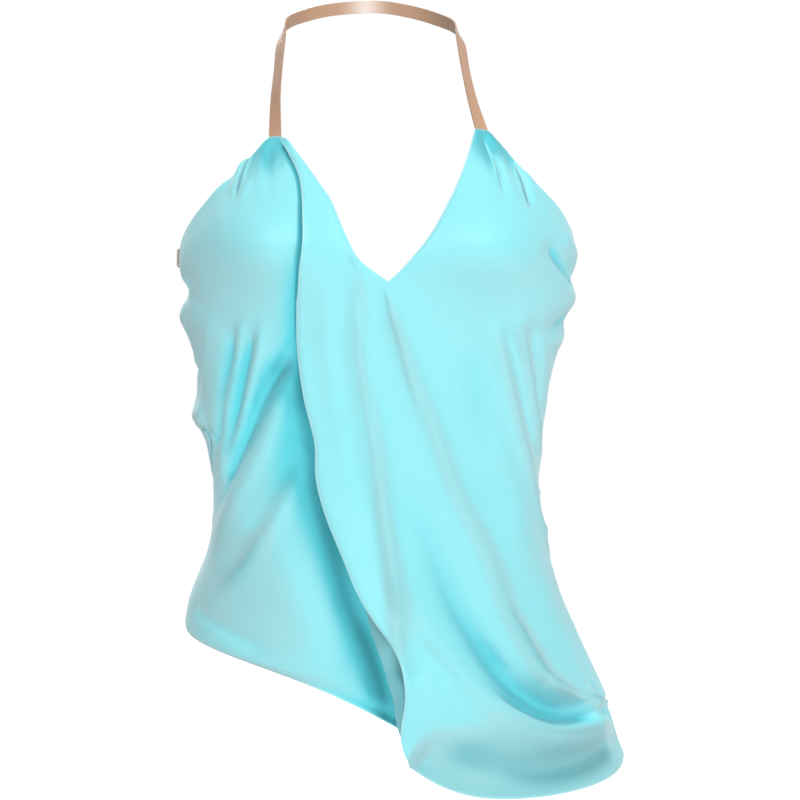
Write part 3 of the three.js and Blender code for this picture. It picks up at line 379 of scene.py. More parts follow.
# Finer creases, which only the dressed cloth has. They lie on the folds above, and also paint shade
# into the cloth's colour; some are nearly flat and are mostly painted shade.
CREASES = [
    # at the tip of the right cup
    fold(RIGHT_TIP, (-2.4, -1.8), (1.2, 2.6), (6, 18), crisp=1.4,
         painted_shading=-1),
    fold(RIGHT_TIP, (-0.15, -0.15), 1.2, (6, 12), painted_shading=-80),
    fold([(-91, -118), (-96, -136), (-100, -150), (-101, -164)], (1.5, 0.8), (3, 3), (8, 20), crisp=1.7),
    fold([(-86, -112), (-87, -127), (-88, -146)], (1.3, 0.7), (3, 4), (6, 22)),
    fold([(-81, -110), (-80, -128), (-78, -150)], (-1.2, -0.6), (3, 3), (6, 24)),
    fold([(-72, -120), (-71, -128)], (-1, -1), (2, 2), (4, 8), "right"),
    fold([(-110, -132), (-116, -150), (-121, -172)], (1.2, 0.6), (4, 4), (10, 25)),
    # inside the free edge of the revers
    fold([(-66, -117), (-62, -130), (-58, -144), (-54, -160)], (-2, -1.2), (1.8, 3), (6, 18), "left",
         crisp=1.6),
    # painted shadow of the revers on the right front, with only a slight hollow
    fold([(-71, -107), (-65, -119), (-58, -136), (-56, -157), (-56, -182), (-58, -205), (-59, -226),
          (-58, -259), (-53, -296), (-45, -329), (-43, -359)], (-0.15, -0.15), 1.8, (6, 60), "right",
         painted_shading=90),
    fold([(-59, -180), (-60, -226), (-57, -270), (-50, -320)], (-0.4, -0.4), 12, (40, 40), "right",
         painted_shading=15),
    # lobes of the right side edge
    fold([(-148, -222), (-137, -225), (-127, -229), (-118, -236)], (-1.6, -0.8), (3.4, 5), (0, 16)),
    fold([(-152, -235), (-141, -239), (-128, -246), (-114, -258)], (1.4, 1), (7, 6), (0, 22)),
    fold([(-140, -268), (-133, -277), (-128, -292)], (1.6, 0.8), (4, 4), (2, 16)),
    fold([(-142, -313), (-131, -309), (-120, -302), (-110, -292)], (1.2, 0.8), (6, 6), (0, 22)),
    fold([(-134, -318), (-125, -324), (-120, -338)], (-1.8, -1), (2.4, 3), (4, 14), crisp=1.6),
    # drag lines from the right cup to the waist
    fold([(-122, -228), (-126, -254), (-131, -279)], (1.4, 1), (5, 5), (18, 16)),
    fold([(-105, -238), (-112, -271), (-119, -303)], (-1.6, -1), (4, 5), (22, 18)),
    fold([(-99, -240), (-108, -284), (-117, -328)], (1.6, 1.2), (4, 5), (20, 20)),
    fold([(-90, -246), (-99, -288), (-109, -326)], (-1.8, -1.2), (4, 5), (22, 22)),
    fold([(-83, -250), (-92, -288), (-103, -328)], (1.8, 1.4), (3.6, 5), (22, 22), crisp=1.8),
    fold([(-64, -262), (-70, -272), (-76, -281), (-86, -300), (-97, -320)], (-2.4, -1.4), (5, 6),
         (18, 24)),
    fold([(-74, -262), (-84, -292), (-96, -326), (-106, -348)], (1.2, 1), (5, 5), (20, 22)),
    fold([(-98, -328), (-108, -346), (-115, -364)], (0.5, 2.6), 8, (8, 8), painted_shading=0.8),
    fold([(-90, -314), (-103, -340), (-113, -362), (-119, -384)], (-1.4, -0.9), (2, 3), (12, 16),
         crisp=1.7, painted_shading=5),
    fold([(-60, -300), (-76, -338), (-96, -372), (-112, -394)], (-1.3, -1), (6, 6), (25, 25)),
    fold([(-90, -390), (-104, -410), (-119, -432)], (0.4, 1.9), 10, (10, 12)),
    fold([(-54, -348), (-74, -388), (-94, -418), (-110, -436)], (1.2, 1.2), (7, 6), (25, 25)),
    # broad painted shade on the right front below the cup and beside the revers, over slight folds
    fold([(-88, -250), (-104, -300), (-114, -345), (-118, -390)], (-2, -2), 28, (30, 40), "right",
         painted_shading=2.2),
    fold([(-130, -400), (-80, -440), (-20, -490)], (0.5, 0.5), 46, (20, 40), "right", painted_shading=12),
    fold([(-58, -250), (-56, -314), (-50, -373), (-34, -440), (-14, -490), (8, -540)], (-0.6, -0.6),
         (32, 22), (90, 90), "right", painted_shading=12),
    # painted shade at the cup tips, where they are drawn together at the tapes, over a slight hollow
    fold([(-78, -98), (-86, -138)], (-0.4, -0.4), 18, (0, 26), painted_shading=20),
    fold([(80, -92), (94, -134)], (-0.4, -0.4), 18, (0, 26), painted_shading=22),
    # down the revers
    fold([(-21, -190), (-13, -203), (-10, -217)], (1.6, 1), (2.4, 3), (6, 14), crisp=1.6),
    fold([(-14, -222), (-9, -251), (-5, -285), (-1, -325), (4, -360)], (-1.6, -1), (2.2, 4), (16, 40),
         "left", crisp=1.6),
    fold([(7, -216), (12, -237), (18, -256), (25, -287), (32, -312)], (1.8, 1), (2, 4.5), (8, 34), "left",
         crisp=1.6),
    fold([(-40, -190), (-36, -240), (-30, -300), (-22, -352)], (1.2, 1.6), (8, 10), (40, 50), "left"),
    fold([(-30, -240), (-24, -290), (-16, -340), (-6, -390)], (-1, -1.6), (6, 7), (40, 50), "left"),
    fold([(-34, -352), (-24, -392), (-10, -430), (6, -462), (22, -492)], (0.8, 1.2), (7, 9), (40, 26),
         "left"),
    # gathers below the tip of the left cup
    fold(LEFT_TIP, (-2, -1.4), (1.3, 3), (8, 20), crisp=1.4, painted_shading=-1),
    fold(LEFT_TIP, (-0.15, -0.12), 1.1, (8, 14), painted_shading=-70),
    fold([(86, -112), (93, -128), (98, -146)], (1.3, 0.8), (3, 3), (8, 20)),
    fold(LEFT_TIP_OUTER, (-2.6, -2), (1.2, 2.6), (6, 18), crisp=1.4, painted_shading=-1),
    fold(LEFT_TIP_OUTER, (-0.15, -0.15), 1.2, (6, 12), painted_shading=-80),
    fold([(111, -128), (117, -146), (121, -164)], (1.4, 0.8), (3, 3), (8, 18)),
    fold([(117, -146), (122, -162), (126, -177)], (-1.4, -0.8), (3, 3), (10, 16)),
    # tucks of the left side edge
    fold([(128, -182), (133, -191), (139, -201), (147, -212)], (-2.6, -3.4), (2, 4), (10, 0), crisp=1.5,
         painted_shading=3),
    fold([(131, -246), (140, -239), (147, -231), (152, -226)], (-1.5, -2.4), (2, 3.6), (12, 0), crisp=1.6,
         painted_shading=3),
    fold([(128, -256), (140, -252), (150, -248)], (1.2, 1.4), (6, 6), (14, 0)),
    # drag lines from the left cup to the waist
    fold([(89, -236), (96, -277), (103, -318), (112, -352)], (1.3, 1), (4.5, 4.5), (22, 30)),
    fold([(101, -232), (106, -268), (112, -303)], (1.3, 1), (4, 4), (18, 24)),
    fold([(107, -240), (112, -278), (118, -318), (125, -352)], (1.8, 1.2), (3.2, 4.5), (20, 26),
         crisp=1.8),
    fold([(112, -242), (117, -279), (123, -314)], (-1.8, -1.2), (4, 4), (20, 22)),
    fold([(122, -240), (126, -278), (130, -316)], (1.4, 1), (4, 4.5), (16, 22)),
    fold([(84, -262), (92, -300), (102, -340), (114, -380)], (-1.2, -1), (6, 6), (30, 34)),
    # the swag
    fold([(88, -446), (101, -471), (114, -494), (125, -509)], (2.2, 2.6), (5, 4), (30, 8)),
    fold([(122, -506), (135, -514), (147, -520), (161, -524), (173, -528)], (2.4, 3), (2.6, 4), (10, 0),
         crisp=1.6),
    fold([(82, -484), (90, -493), (99, -500)], (-1.6, -1.6), (3, 3), (8, 12)),
    fold([(72, -474), (82, -482), (92, -489)], (-1.2, -1.2), (3, 3), (8, 12)),
    fold([(60, -497), (76, -510), (92, -521), (108, -529)], (-1.5, -2), (5, 4), (20, 16)),
    fold([(90, -522), (106, -529), (132, -541), (152, -540), (170, -534)], (-2, -3), (3.4, 3), (16, 0),
         crisp=1.7),
    fold([(66, -506), (84, -521), (99, -530), (116, -539), (132, -545), (148, -544), (166, -535)],
         (1.4, 2.6), (3.6, 3), (20, 0), crisp=1.8),
    # the pocket above the lowest roll is deep
    fold([(80, -511), (95, -522), (113, -532), (133, -537), (154, -536), (170, -530)], (-3, -6), (6, 4),
         (22, 16), "left"),
    # painted shade below it, where the cloth turns down and under, over a slight hollow
    fold([(44, -568), (61, -560), (83, -550), (105, -553), (130, -559), (155, -556), (172, -548)],
         (-0.5, -0.5), (16, 15), (50, 10), "left", painted_shading=-13),
    # painted grey shade on the outer side of the left front, where the cloth turns back, over a slight
    # ridge
    fold([(112, -230), (112, -300), (124, -400), (146, -490)], (0.5, 0.5), 17, (30, 30), painted_shading=7),
    # small puckers beside the left seam
    fold([(120, -368), (131, -372)], (1.2, 1.8), (4, 3), (6, 0)),
    fold([(118, -381), (131, -384)], (-1, -1.6), (4, 3), (6, 0)),
    fold([(122, -396), (134, -398)], (1.2, 1.8), (5, 3), (6, 0)),
    fold([(128, -420), (140, -424)], (-1, -1.5), (4, 4), (6, 0)),
    # creases of the back from the side seams, and across the small of it
    fold([(-96, -362), (-122, -392), (-152, -428)], (-2, -1), (4, 7), (0, 40), "back", round=True,
         crisp=1.8),
    fold([(-95, -390), (-118, -424), (-140, -462)], (1.6, 1), (7, 8), (0, 40), "back", round=True),
    fold([(-96, -432), (-112, -462), (-126, -490)], (-1.6, -1), (5, 7), (0, 30), "back", round=True),
    fold([(-271, -376), (-246, -404), (-220, -436)], (-2, -1), (7, 4), (0, 40), "back", round=True,
         crisp=1.8),
    fold([(-272, -408), (-250, -440), (-230, -478)], (1.6, 1), (8, 7), (0, 40), "back", round=True),
    fold([(-272, -450), (-256, -480), (-240, -506)], (-1.8, -1), (7, 5), (0, 30), "back", round=True),
    fold([(-140, -350), (-180, -358), (-222, -348)], (-0.9, -1.1), (4, 7), (40, 35), "back", round=True),
    fold([(-160, -372), (-192, -381), (-224, -370)], (0.9, 1.1), (6, 6), (36, 30), "back", round=True),
    # the back panel shows past the left seam
    fold([(148, -478), (155, -496), (163, -512)], (2, 2), (3, 3), (10, 6), "back"),
]

# Long, slow unevenness of the cloth: turns per metre round and down it, phase, height in millimetres.
UNEVENNESS = [
    (7.1, 4.3, 0.4, 0.42), (-5.2, 9.1, 2.2, 0.34), (12.7, 3.1, 4.0, 0.2), (3.3, -14.9, 1.1, 0.16),
    (19.0, 7.7, 5.3, 0.1), (-16.1, 18.3, 3.1, 0.08), (31.0, 11.0, 0.9, 0.045), (-27.0, 21.0, 2.7, 0.04),
]


def hermite(start, end, slope_start, slope_end, t):
    t2 = t * t
    t3 = t2 * t
    return ((2 * t3 - 3 * t2 + 1) * start + (t3 - 2 * t2 + t) * slope_start
            + (3 * t2 - 2 * t3) * end + (t3 - t2) * slope_end)


def between_rows(column, place):
    """A column of a table at places between its rows. It runs straight out at both ends."""
    column = np.asarray(column, float)
    place = np.asarray(place, float)
    longer = np.concatenate(([2 * column[0] - column[1]], column, [2 * column[-1] - column[-2]]))
    row = np.clip(np.floor(place).astype(int), 0, len(column) - 2)
    a, b, c, d = (longer[row + k] for k in range(4))
    return hermite(b, c, (c - a) / 2, (d - b) / 2, place - row)


def at_height(table, column, z):
    """A column of a table whose first column is a falling height, smooth in that height."""
    heights = -np.array([row[0] for row in table], float)
    values = np.array([row[column] for row in table], float)
    slopes = np.gradient(values, heights)
    depth = np.clip(-np.asarray(z, float), heights[0], heights[-1])
    row = np.clip(np.searchsorted(heights, depth, side="right") - 1, 0, len(heights) - 2)
    step = heights[row + 1] - heights[row]
    t = (depth - heights[row]) / step
    return hermite(values[row], values[row + 1], slopes[row] * step, slopes[row + 1] * step, t)


def ring_at(z):
    right, left, front, back = (at_height(RINGS, column, z) for column in range(1, 5))
    return (left - right) / 2, (left + right) / 2, front, back


def ease(value, low, high):
    t = np.clip((value - low) / (high - low), 0, 1)
    return t * t * (3 - 2 * t)


def bump(distance, width):
    return np.exp(-(distance / width) ** 2)


def form_point(angle, z):
    """A point of the hollow form, by the angle round it from the centre front and its height."""
    middle, half, front, back = ring_at(z)
    sine = np.sin(np.radians(angle))
    cosine = np.cos(np.radians(angle))
    depth = np.where(cosine > 0, front, back)
    power = SECTION_POWER
    reach = (np.abs(sine / half) ** power + np.abs(cosine / depth) ** power) ** (-1 / power)
    x = middle + reach * sine
    drop = bump(z - CUP["z"], np.where(z > CUP["z"], CUP["rise"], CUP["fall"]))
    side = bump(np.hypot(x, CUP["middle"]) - CUP["x"], CUP["half_width"])
    cup = CUP["height"] * drop * side * ease(cosine, *CUP["side_fade"])
    return np.stack([x, -reach * cosine - cup, z + 0 * x], axis=-1)


def unit(vectors):
    return vectors / np.linalg.norm(vectors, axis=-1, keepdims=True)


def form_normal(angle, z):
    around = form_point(angle + ANGLE_STEP, z) - form_point(angle - ANGLE_STEP, z)
    up = form_point(angle, z + HEIGHT_STEP) - form_point(angle, z - HEIGHT_STEP)
    return unit(np.cross(around, up))


def angle_at(x, z):
    """The angle of a place that is given by its x in the front view."""
    middle, half, front = ring_at(z)[:3]
    share = np.minimum(np.abs(x - middle) / half, SIDE_LINE)
    depth = front * (1 - share ** SECTION_POWER) ** (1 / SECTION_POWER)
    return np.degrees(np.arctan2(x - middle, depth))


def flat_path(one):
    """A fold's path, smoothed, as points on the cloth laid out flat."""
    places = np.array(one["path"], float)
    angles = places[:, 0] if one["round"] else angle_at(places[:, 0], places[:, 1])
    where = np.linspace(0, len(places) - 1, PATH_STEPS * (len(places) - 1) + 1)
    across = between_rows(np.radians(angles) * CLOTH_RADIUS, where)
    return np.stack([across, between_rows(places[:, 1], where)], axis=-1)


def fade_in(run, fade):
    return ease(run, FADE_START * fade, fade) if fade > 0 else np.ones_like(run)


def one_fold_height(one, here):
    """How far one fold moves the cloth out at points of it laid out flat."""
    path = flat_path(one)
    steps = np.diff(path, axis=0)
    lengths = np.linalg.norm(steps, axis=1)
    runs = np.concatenate(([0], np.cumsum(lengths)))
    nearest = np.full(len(here), np.inf)
    run = np.zeros(len(here))
    turn = np.zeros(len(here))
    for k, step in enumerate(steps):
        away = here - path[k]
        share = np.clip(away @ step / lengths[k] ** 2, 0, 1)
        rest = away - share[:, None] * step
        gap = np.hypot(rest[:, 0], rest[:, 1])
        closer = gap < nearest
        nearest = np.where(closer, gap, nearest)
        run = np.where(closer, runs[k] + share * lengths[k], run)
        turn = np.where(closer, step[0] * away[:, 1] - step[1] * away[:, 0], turn)
    width = np.where(turn > 0, one["above"], one["below"])
    ends = fade_in(run, one["fade"][0]) * fade_in(runs[-1] - run, one["fade"][1])
    peak = one["height"][0] + (one["height"][1] - one["height"][0]) * run / runs[-1]
    return peak * ends * np.exp(-(nearest / width) ** one["crisp"])


def fold_height(angle, z, layer):
    """How far all the folds of a layer move the cloth out, and how much shade they paint into its colour.
    """
    across = np.radians(angle).ravel() * CLOTH_RADIUS
    here = np.stack([across, np.broadcast_to(z, np.shape(angle)).ravel()], axis=-1)
    total = np.zeros(len(here))
    painted_shading = np.zeros(len(here))
    for one in FOLDS + CREASES:
        if one["layer"] not in (None, layer):
            continue
        path = flat_path(one)
        reach = FOLD_REACH * max(one["below"], one["above"])
        inside = np.all((here > path.min(axis=0) - reach) & (here < path.max(axis=0) + reach), axis=1)
        if inside.any():
            rise = one_fold_height(one, here[inside])
            total[inside] += rise
            painted_shading[inside] += rise * one["painted_shading"]
    for turns_round, turns_down, phase, height in UNEVENNESS:
        waves = here[:, 0] * turns_round + here[:, 1] * turns_down
        total += height * np.sin(2 * math.pi * MILLIMETRE * waves + phase)
    return total.reshape(np.shape(angle)), painted_shading.reshape(np.shape(angle))


def seam_angle(seam, z, side):
    return at_height(seam, 1, z) + side * math.degrees(SEWN_GAP / 2 / CLOTH_RADIUS)


def end_angle(end, seam):
    if end[0] == SEAM:
        return float(seam(end[1]))
    if end[0] == DEG:
        return float(end[1])
    return float(angle_at(end[0], end[1]))


def end_line(ends, place, seam):
    """Angle and height along one end of a panel. Between two sections on a seam it keeps to the seam."""
    heights = [end[-1] for end in ends]
    angle = between_rows([end_angle(end, seam) for end in ends], place)
    z = between_rows(heights, place)
    row = np.clip(np.floor(place).astype(int), 0, len(ends) - 2)
    on_seam = np.array([end[0] == SEAM for end in ends])
    straight = np.interp(place, np.arange(len(ends)), heights)
    along = on_seam[row] & on_seam[row + 1]
    if along.any():
        z = np.where(along, straight, z)
        angle = np.where(along, seam(straight), angle)
    return angle, z


class Panel:
    """A sheet of points, row by row down and column by column to the wearer's left."""

    # A panel also carries the shade its folds paint into its colour, and the painted highlight along its
    # rim.
    def __init__(self, points, flat, out, painted_shading=None, rim=None):
        self.points = points
        self.flat = flat
        self.out = out
        self.painted_shading = np.zeros(points.shape[:2]) if painted_shading is None else painted_shading
        self.rim = np.zeros(points.shape[:2]) if rim is None else rim

    def parts(self):
        return self.points, self.flat, self.out, self.painted_shading, self.rim

    def turned(self):
        return Panel(*(part[:, ::-1] for part in self.parts()))

    def and_below(self, other):
        both = zip(self.parts(), other.parts())
        return Panel(*(np.concatenate([upper, lower[1:]]) for upper, lower in both))

    def from_edge(self, edge):
        """How far each point is from one edge, measured along the cloth."""
        axis = 1 if edge in ("start", "stop") else 0
        steps = np.linalg.norm(np.diff(self.points, axis=axis), axis=-1)
        gone = np.insert(np.cumsum(steps, axis=axis), 0, 0, axis=axis)
        if edge in ("stop", "hem"):
            gone = np.take(gone, [-1], axis=axis) - gone
        return gone

    def roll(self, edge, share=1.0):
        """Turns one edge in a little, as the edge of a lined panel turns, and paints a pale highlight
        along it.
        """
        away = self.from_edge(edge)
        swell = ROLL["swell"] * bump(away - ROLL["swell_at"], ROLL["swell_width"])
        turn = ROLL["turn"] * np.exp(-away / ROLL["turn_width"])
        self.points = self.points + self.out * ((swell - turn) * share)[..., None]
        self.rim = np.maximum(self.rim, share * bump(away, PAINTED_HIGHLIGHT_WIDTH))

    def pucker(self, edge, share=1.0):
        """Draws the cloth in along a sewn edge, with the small uneven puckers of a seam."""
        away = self.from_edge(edge)
        column = 0 if edge == "start" else -1
        run = self.points[:, [column], 2]
        wander = PUCKER["wander"] * np.sin(run / PUCKER["wander_pitch"])
        rests = np.sin(run / PUCKER["rest_pitch"] + PUCKER["rest_phase"])
        waves = np.sin(run / PUCKER["pitch"] + wander) * rests
        ripple = PUCKER["ripple"] * waves * bump(away - PUCKER["ripple_at"], PUCKER["ripple_width"])
        valley = PUCKER["valley"] * np.exp(-away / PUCKER["valley_width"])
        self.points = self.points + self.out * ((ripple - valley) * share)[..., None]


def panel(sections, columns, layer, seams=(None, None)):
    """A panel from its table of sections."""
    counts = [section[5] * ROW_FINENESS for section in sections[:-1]]
    place = np.concatenate([i + np.arange(n) / n for i, n in enumerate(counts)] + [[len(counts)]])
    start_angle, start_z = end_line([section[0] for section in sections], place, seams[0])
    stop_angle, stop_z = end_line([section[1] for section in sections], place, seams[1])
    start_lift, stop_lift, sag = (between_rows([s[k] for s in sections], place) for k in (2, 3, 4))
    u = np.linspace(0, 1, columns + 1)[None, :]

    def across(start, stop):
        return start[:, None] * (1 - u) + stop[:, None] * u

    angle = across(start_angle, stop_angle)
    z = across(start_z, stop_z) - sag[:, None] * 4 * u * (1 - u)
    out = form_normal(angle, z)
    folds, painted_shading = fold_height(angle, z, layer)
    height = across(start_lift, stop_lift) + folds
    points = form_point(angle, z) + out * height[..., None]
    flat = np.stack([np.radians(angle) * CLOTH_RADIUS, z], axis=-1)
    return Panel(points, flat, out, np.clip(painted_shading, *PAINTED_SHADING_RANGE))


def row_share(panel, first=ABOVE_TOP, last=BELOW_HEM, fade=ROW_FADE):
    """1 for the rows from first to last, fading out past them, as a column beside the panel."""
    rows = np.arange(len(panel.points))
    return (ease(rows, first - fade, first) * (1 - ease(rows, last, last + fade)))[:, None]


def rows_to(sections, section):
    """How many rows of a panel's mesh lie above a section."""
    return ROW_FINENESS * sum(row[5] for row in sections[:section])


def right_front_panel():
    def seam(z):
        return seam_angle(RIGHT_SEAM, z, 1)

    made = panel(RIGHT_FRONT, COLUMNS["right_front"], "right", (None, seam))
    seam_row = rows_to(RIGHT_FRONT, SEAM_TOP)
    made.roll("start")
    made.roll("stop", row_share(made, last=seam_row - ROW_FADE))
    made.pucker("stop", row_share(made, first=seam_row))
    made.roll("hem")
    made.roll("top")
    return made.turned()


def bent_panel(sections, columns, seams=(None, None)):
    """A panel of the left front, whose edge has a corner at the V."""
    upper = panel(sections[:V_SECTION + 1], columns, "left", seams)
    lower = panel(sections[V_SECTION:], columns, "left", seams)
    return upper.and_below(lower)


def revers_panel():
    made = bent_panel(REVERS, COLUMNS["revers"])
    made.roll("start")
    made.roll("stop", row_share(made, last=rows_to(REVERS, V_SECTION) - V_FADE, fade=V_FADE))
    made.roll("hem")
    made.roll("top")
    return made


def left_cup_panel():
    def seam(z):
        return seam_angle(LEFT_SEAM, z, -1)

    made = bent_panel(LEFT_FRONT, COLUMNS["left_cup"], (None, seam))
    seam_row = rows_to(LEFT_FRONT, SEAM_TOP)
    seam_end = rows_to(LEFT_FRONT, LEFT_SEAM_END)
    made.roll("start", row_share(made, last=rows_to(LEFT_FRONT, V_SECTION) - V_FADE, fade=V_FADE))
    made.roll("stop", row_share(made, last=seam_row - ROW_FADE))
    made.pucker("stop", row_share(made, seam_row, seam_end))
    made.roll("stop", row_share(made, first=seam_end + ROW_FADE))
    made.roll("hem")
    made.roll("top")
    return made


def back_panel():
    def right(z):
        return seam_angle(RIGHT_SEAM, z, -1)

    def left(z):
        return seam_angle(LEFT_SEAM, z, 1) - 360

    made = panel(BACK, COLUMNS["back"], "back", (right, left))
    made.pucker("start")
    made.pucker("stop")
    made.roll("hem")
    made.roll("top")
    return made.turned()


def facing_panel(revers):
    """The facing, from the points of the revers in front of it, and shown past its free edge."""
    top, bottom = (ROW_FINENESS * row for row in FACING["rows"])
    columns = FACING["columns"] + 1
    edge = 1 - np.linspace(0, 1, columns)[None, :]
    along = np.linspace(0, 1, bottom - top + 1)[:, None]
    show = FACING["reach"] * np.sin(math.pi * along) * edge
    depth = FACING["behind"] + FACING["depth"] * edge + 0 * along
    there = slice(top, bottom + 1), slice(columns)
    points = revers.points[there] + np.stack([-show, depth, 0 * show], axis=-1)
    # The facing is painted in shade all over, as it lies behind the revers.
    return Panel(points, revers.flat[there], revers.out[there], FACING["painted_shading"] + 0 * show)


def to_metres(points):
    return (points - NAPE) * MILLIMETRE


def make_grid(name, panel):
    """A grid whose points are moved to the panel's, with the flat cloth as its UV map."""
    rows, columns = panel.points.shape[:2]
    bpy.ops.mesh.primitive_grid_add(x_subdivisions=columns - 1, y_subdivisions=rows - 1, size=1)
    piece = bpy.context.object
    piece.name = name
    mesh = piece.data
    mesh.name = name
    square = np.empty(3 * len(mesh.vertices))
    mesh.vertices.foreach_get("co", square)
    square = square.reshape(-1, 3)
    column = np.rint((square[:, 0] + 0.5) * (columns - 1)).astype(int)
    row = np.rint((0.5 - square[:, 1]) * (rows - 1)).astype(int)
    mesh.vertices.foreach_set("co", to_metres(panel.points[row, column]).ravel())
    corners = np.empty(len(mesh.loops), dtype=int)
    mesh.loops.foreach_get("vertex_index", corners)
    flat = panel.flat[row, column][corners] * MILLIMETRE
    mesh.uv_layers[0].name = CLOTH_MAP
    mesh.uv_layers[0].data.foreach_set("uv", flat.ravel())
    for kind, values in ((PAINTED_SHADING_MAP, panel.painted_shading), (PAINTED_HIGHLIGHT_MAP, panel.rim)):
        mesh.attributes.new(kind, "FLOAT", "POINT").data.foreach_set("value", values[row, column])
    mesh.update()
    return piece


def only(piece):
    bpy.ops.object.select_all(action="DESELECT")
    piece.select_set(True)
    bpy.context.view_layer.objects.active = piece


def joined(pieces):
    only(pieces[0])
    for piece in pieces:
        piece.select_set(True)
    bpy.ops.object.join()
    bpy.ops.object.mode_set(mode="EDIT")
    bpy.ops.mesh.select_all(action="SELECT")
    bpy.ops.mesh.remove_doubles(threshold=MERGED_WITHIN * MILLIMETRE)
    bpy.ops.object.mode_set(mode="OBJECT")
    return bpy.context.object


def give_wall(piece, thickness):
    """Thickens a sheet on both sides of its points and smooths it up to its rim."""
    only(piece)
    wall = piece.modifiers.new("wall", "SOLIDIFY")
    wall.thickness = thickness * MILLIMETRE
    wall.offset = 0
    wall.use_rim = True
    bpy.ops.object.modifier_apply(modifier="wall")
    bpy.ops.object.shade_smooth_by_angle(angle=math.radians(SMOOTH_ANGLE))


def tape_panel(crossings, steps):
    """A flat tape through its crossings, each of three points from one edge to the other."""
    crossings = np.array(crossings)
    place = np.linspace(0, len(crossings) - 1, steps + 1)
    edge, middle, other = (
        np.stack([between_rows(crossings[:, k, axis], place) for axis in range(3)], axis=-1)
        for k in range(3)
    )
    v = np.linspace(0, 1, TAPE["columns"] + 1)
    shares = (2 * v - 1) * (v - 1), 4 * v * (1 - v), v * (2 * v - 1)
    lines = zip((edge, middle, other), shares)
    points = sum(line[:, None, :] * share[None, :, None] for line, share in lines)
    run = np.linalg.norm(np.diff(middle, axis=0), axis=-1)
    run = np.insert(np.cumsum(run), 0, 0)
    width = np.linalg.norm(other - edge, axis=-1).mean()
    flat = np.stack(np.broadcast_arrays(v[None, :] * width, run[:, None]), axis=-1)
    return Panel(points, flat, None)


def cloth_crossing(angles, heights, lift):
    """Three points across a tape that lies along the cloth's own surface."""
    angles, heights = np.array(angles, float), np.array(heights, float)
    out = form_normal(angles, heights)
    height = lift + fold_height(angles, heights, None)[0]
    return form_point(angles, heights) + out * height[..., None]


def free_crossings(rows, width):
    """Three points across a hanging tape at each row of its table."""
    line = np.array([row[:3] for row in rows], float)
    face = np.array([row[3:] for row in rows], float)
    along = np.gradient(line, axis=0)
    across = unit(np.cross(face, along)) * width / 2
    return [list(three) for three in zip(line - across, line, line + across)]


def neck_tape_panel():
    sides = np.array([-0.5, 0, 0.5]) * TAPE["neck"]

    def sewn_end(end, turn):
        level = [z + 0 * sides for z in end[1:]]
        return [cloth_crossing(angle_at(end[0] + turn * sides, z), z, -TAPE["behind"]) for z in level]

    crossings = (sewn_end(NECK_TAPE_ENDS[0], -1) + free_crossings(NECK_TAPE, TAPE["neck"])
                 + sewn_end(NECK_TAPE_ENDS[1], 1))
    made = tape_panel(crossings, TAPE["neck_steps"])
    # A painted highlight on the tape where it passes behind the nape.
    painted_highlight = bump(made.points[..., 0] - NAPE_PAINTED_HIGHLIGHT["x"], NAPE_PAINTED_HIGHLIGHT["reach"])
    made.rim = painted_highlight * ease(made.points[..., 1], *NAPE_PAINTED_HIGHLIGHT["behind"])
    return made


def back_tape_panel():
    sides = np.array([-0.5, 0, 0.5]) * TAPE["back"]
    crossings = [cloth_crossing(angle + 0 * sides, z + sides, lift) for angle, z, lift in BACK_TAPE]
    return tape_panel(crossings, TAPE["back_steps"])


class Value:
    """The output of a node. A sum written on it adds the node that works it out."""

    def __init__(self, look, socket):
        self.look = look
        self.socket = socket

    def maths(self, operation, first, second):
        return self.look.node("ShaderNodeMath", {"operation": operation}, {0: first, 1: second})

    def __add__(self, other):
        return self.maths("ADD", self, other)

    def __mul__(self, other):
        return self.maths("MULTIPLY", self, other)

    __radd__ = __add__
    __rmul__ = __mul__


class Look:
    """A material with one Principled shader, and the nodes that feed it."""

    def __init__(self, name):
        self.material = bpy.data.materials.new(name)
        self.material.use_nodes = True
        self.tree = self.material.node_tree
        self.shader = self.tree.nodes["Principled BSDF"]

    def put(self, socket, value):
        if isinstance(value, Value):
            self.tree.links.new(value.socket, socket)
        else:
            socket.default_value = value

    def node(self, kind, settings, inputs, output=0):
        made = self.tree.nodes.new(kind)
        for name, value in settings.items():
            setattr(made, name, value)
        for name, value in inputs.items():
            self.put(made.inputs[name], value)
        return Value(self, made.outputs[output])

    def noise(self, place, scale, detail=2.0, roughness=0.5):
        return self.node("ShaderNodeTexNoise", {}, {"Vector": place, "Scale": scale, "Detail": detail,
                                                    "Roughness": roughness})

    def scaled(self, place, scale, turn=0.0):
        return self.node("ShaderNodeMapping", {}, {"Vector": place, "Scale": scale,
                                                   "Rotation": (0, 0, turn)})

    def ease(self, value, low, high):
        return self.node("ShaderNodeMapRange", {"interpolation_type": "SMOOTHSTEP"},
                         {"Value": value, "From Min": low, "From Max": high})

    def blend(self, share, first, second):
        return self.node("ShaderNodeMix", {"data_type": "RGBA"}, {0: share, 6: first, 7: second}, 2)

    def attribute(self, name):
        return self.node("ShaderNodeAttribute", {"attribute_name": name}, {}, "Fac")

    def waves(self, place, direction, scale, distortion, detail):
        return self.node("ShaderNodeTexWave", {"wave_type": "BANDS", "bands_direction": direction},
                         {"Vector": place, "Scale": scale, "Distortion": distortion, "Detail": detail}, 1)

    def relief(self, height, depth):
        return self.node("ShaderNodeBump", {}, {"Height": height, "Distance": depth, "Strength": 1.0})

    def surface(self, **inputs):
        for name, value in inputs.items():
            self.put(self.shader.inputs[name.replace("_", " ")], value)
        return self.material


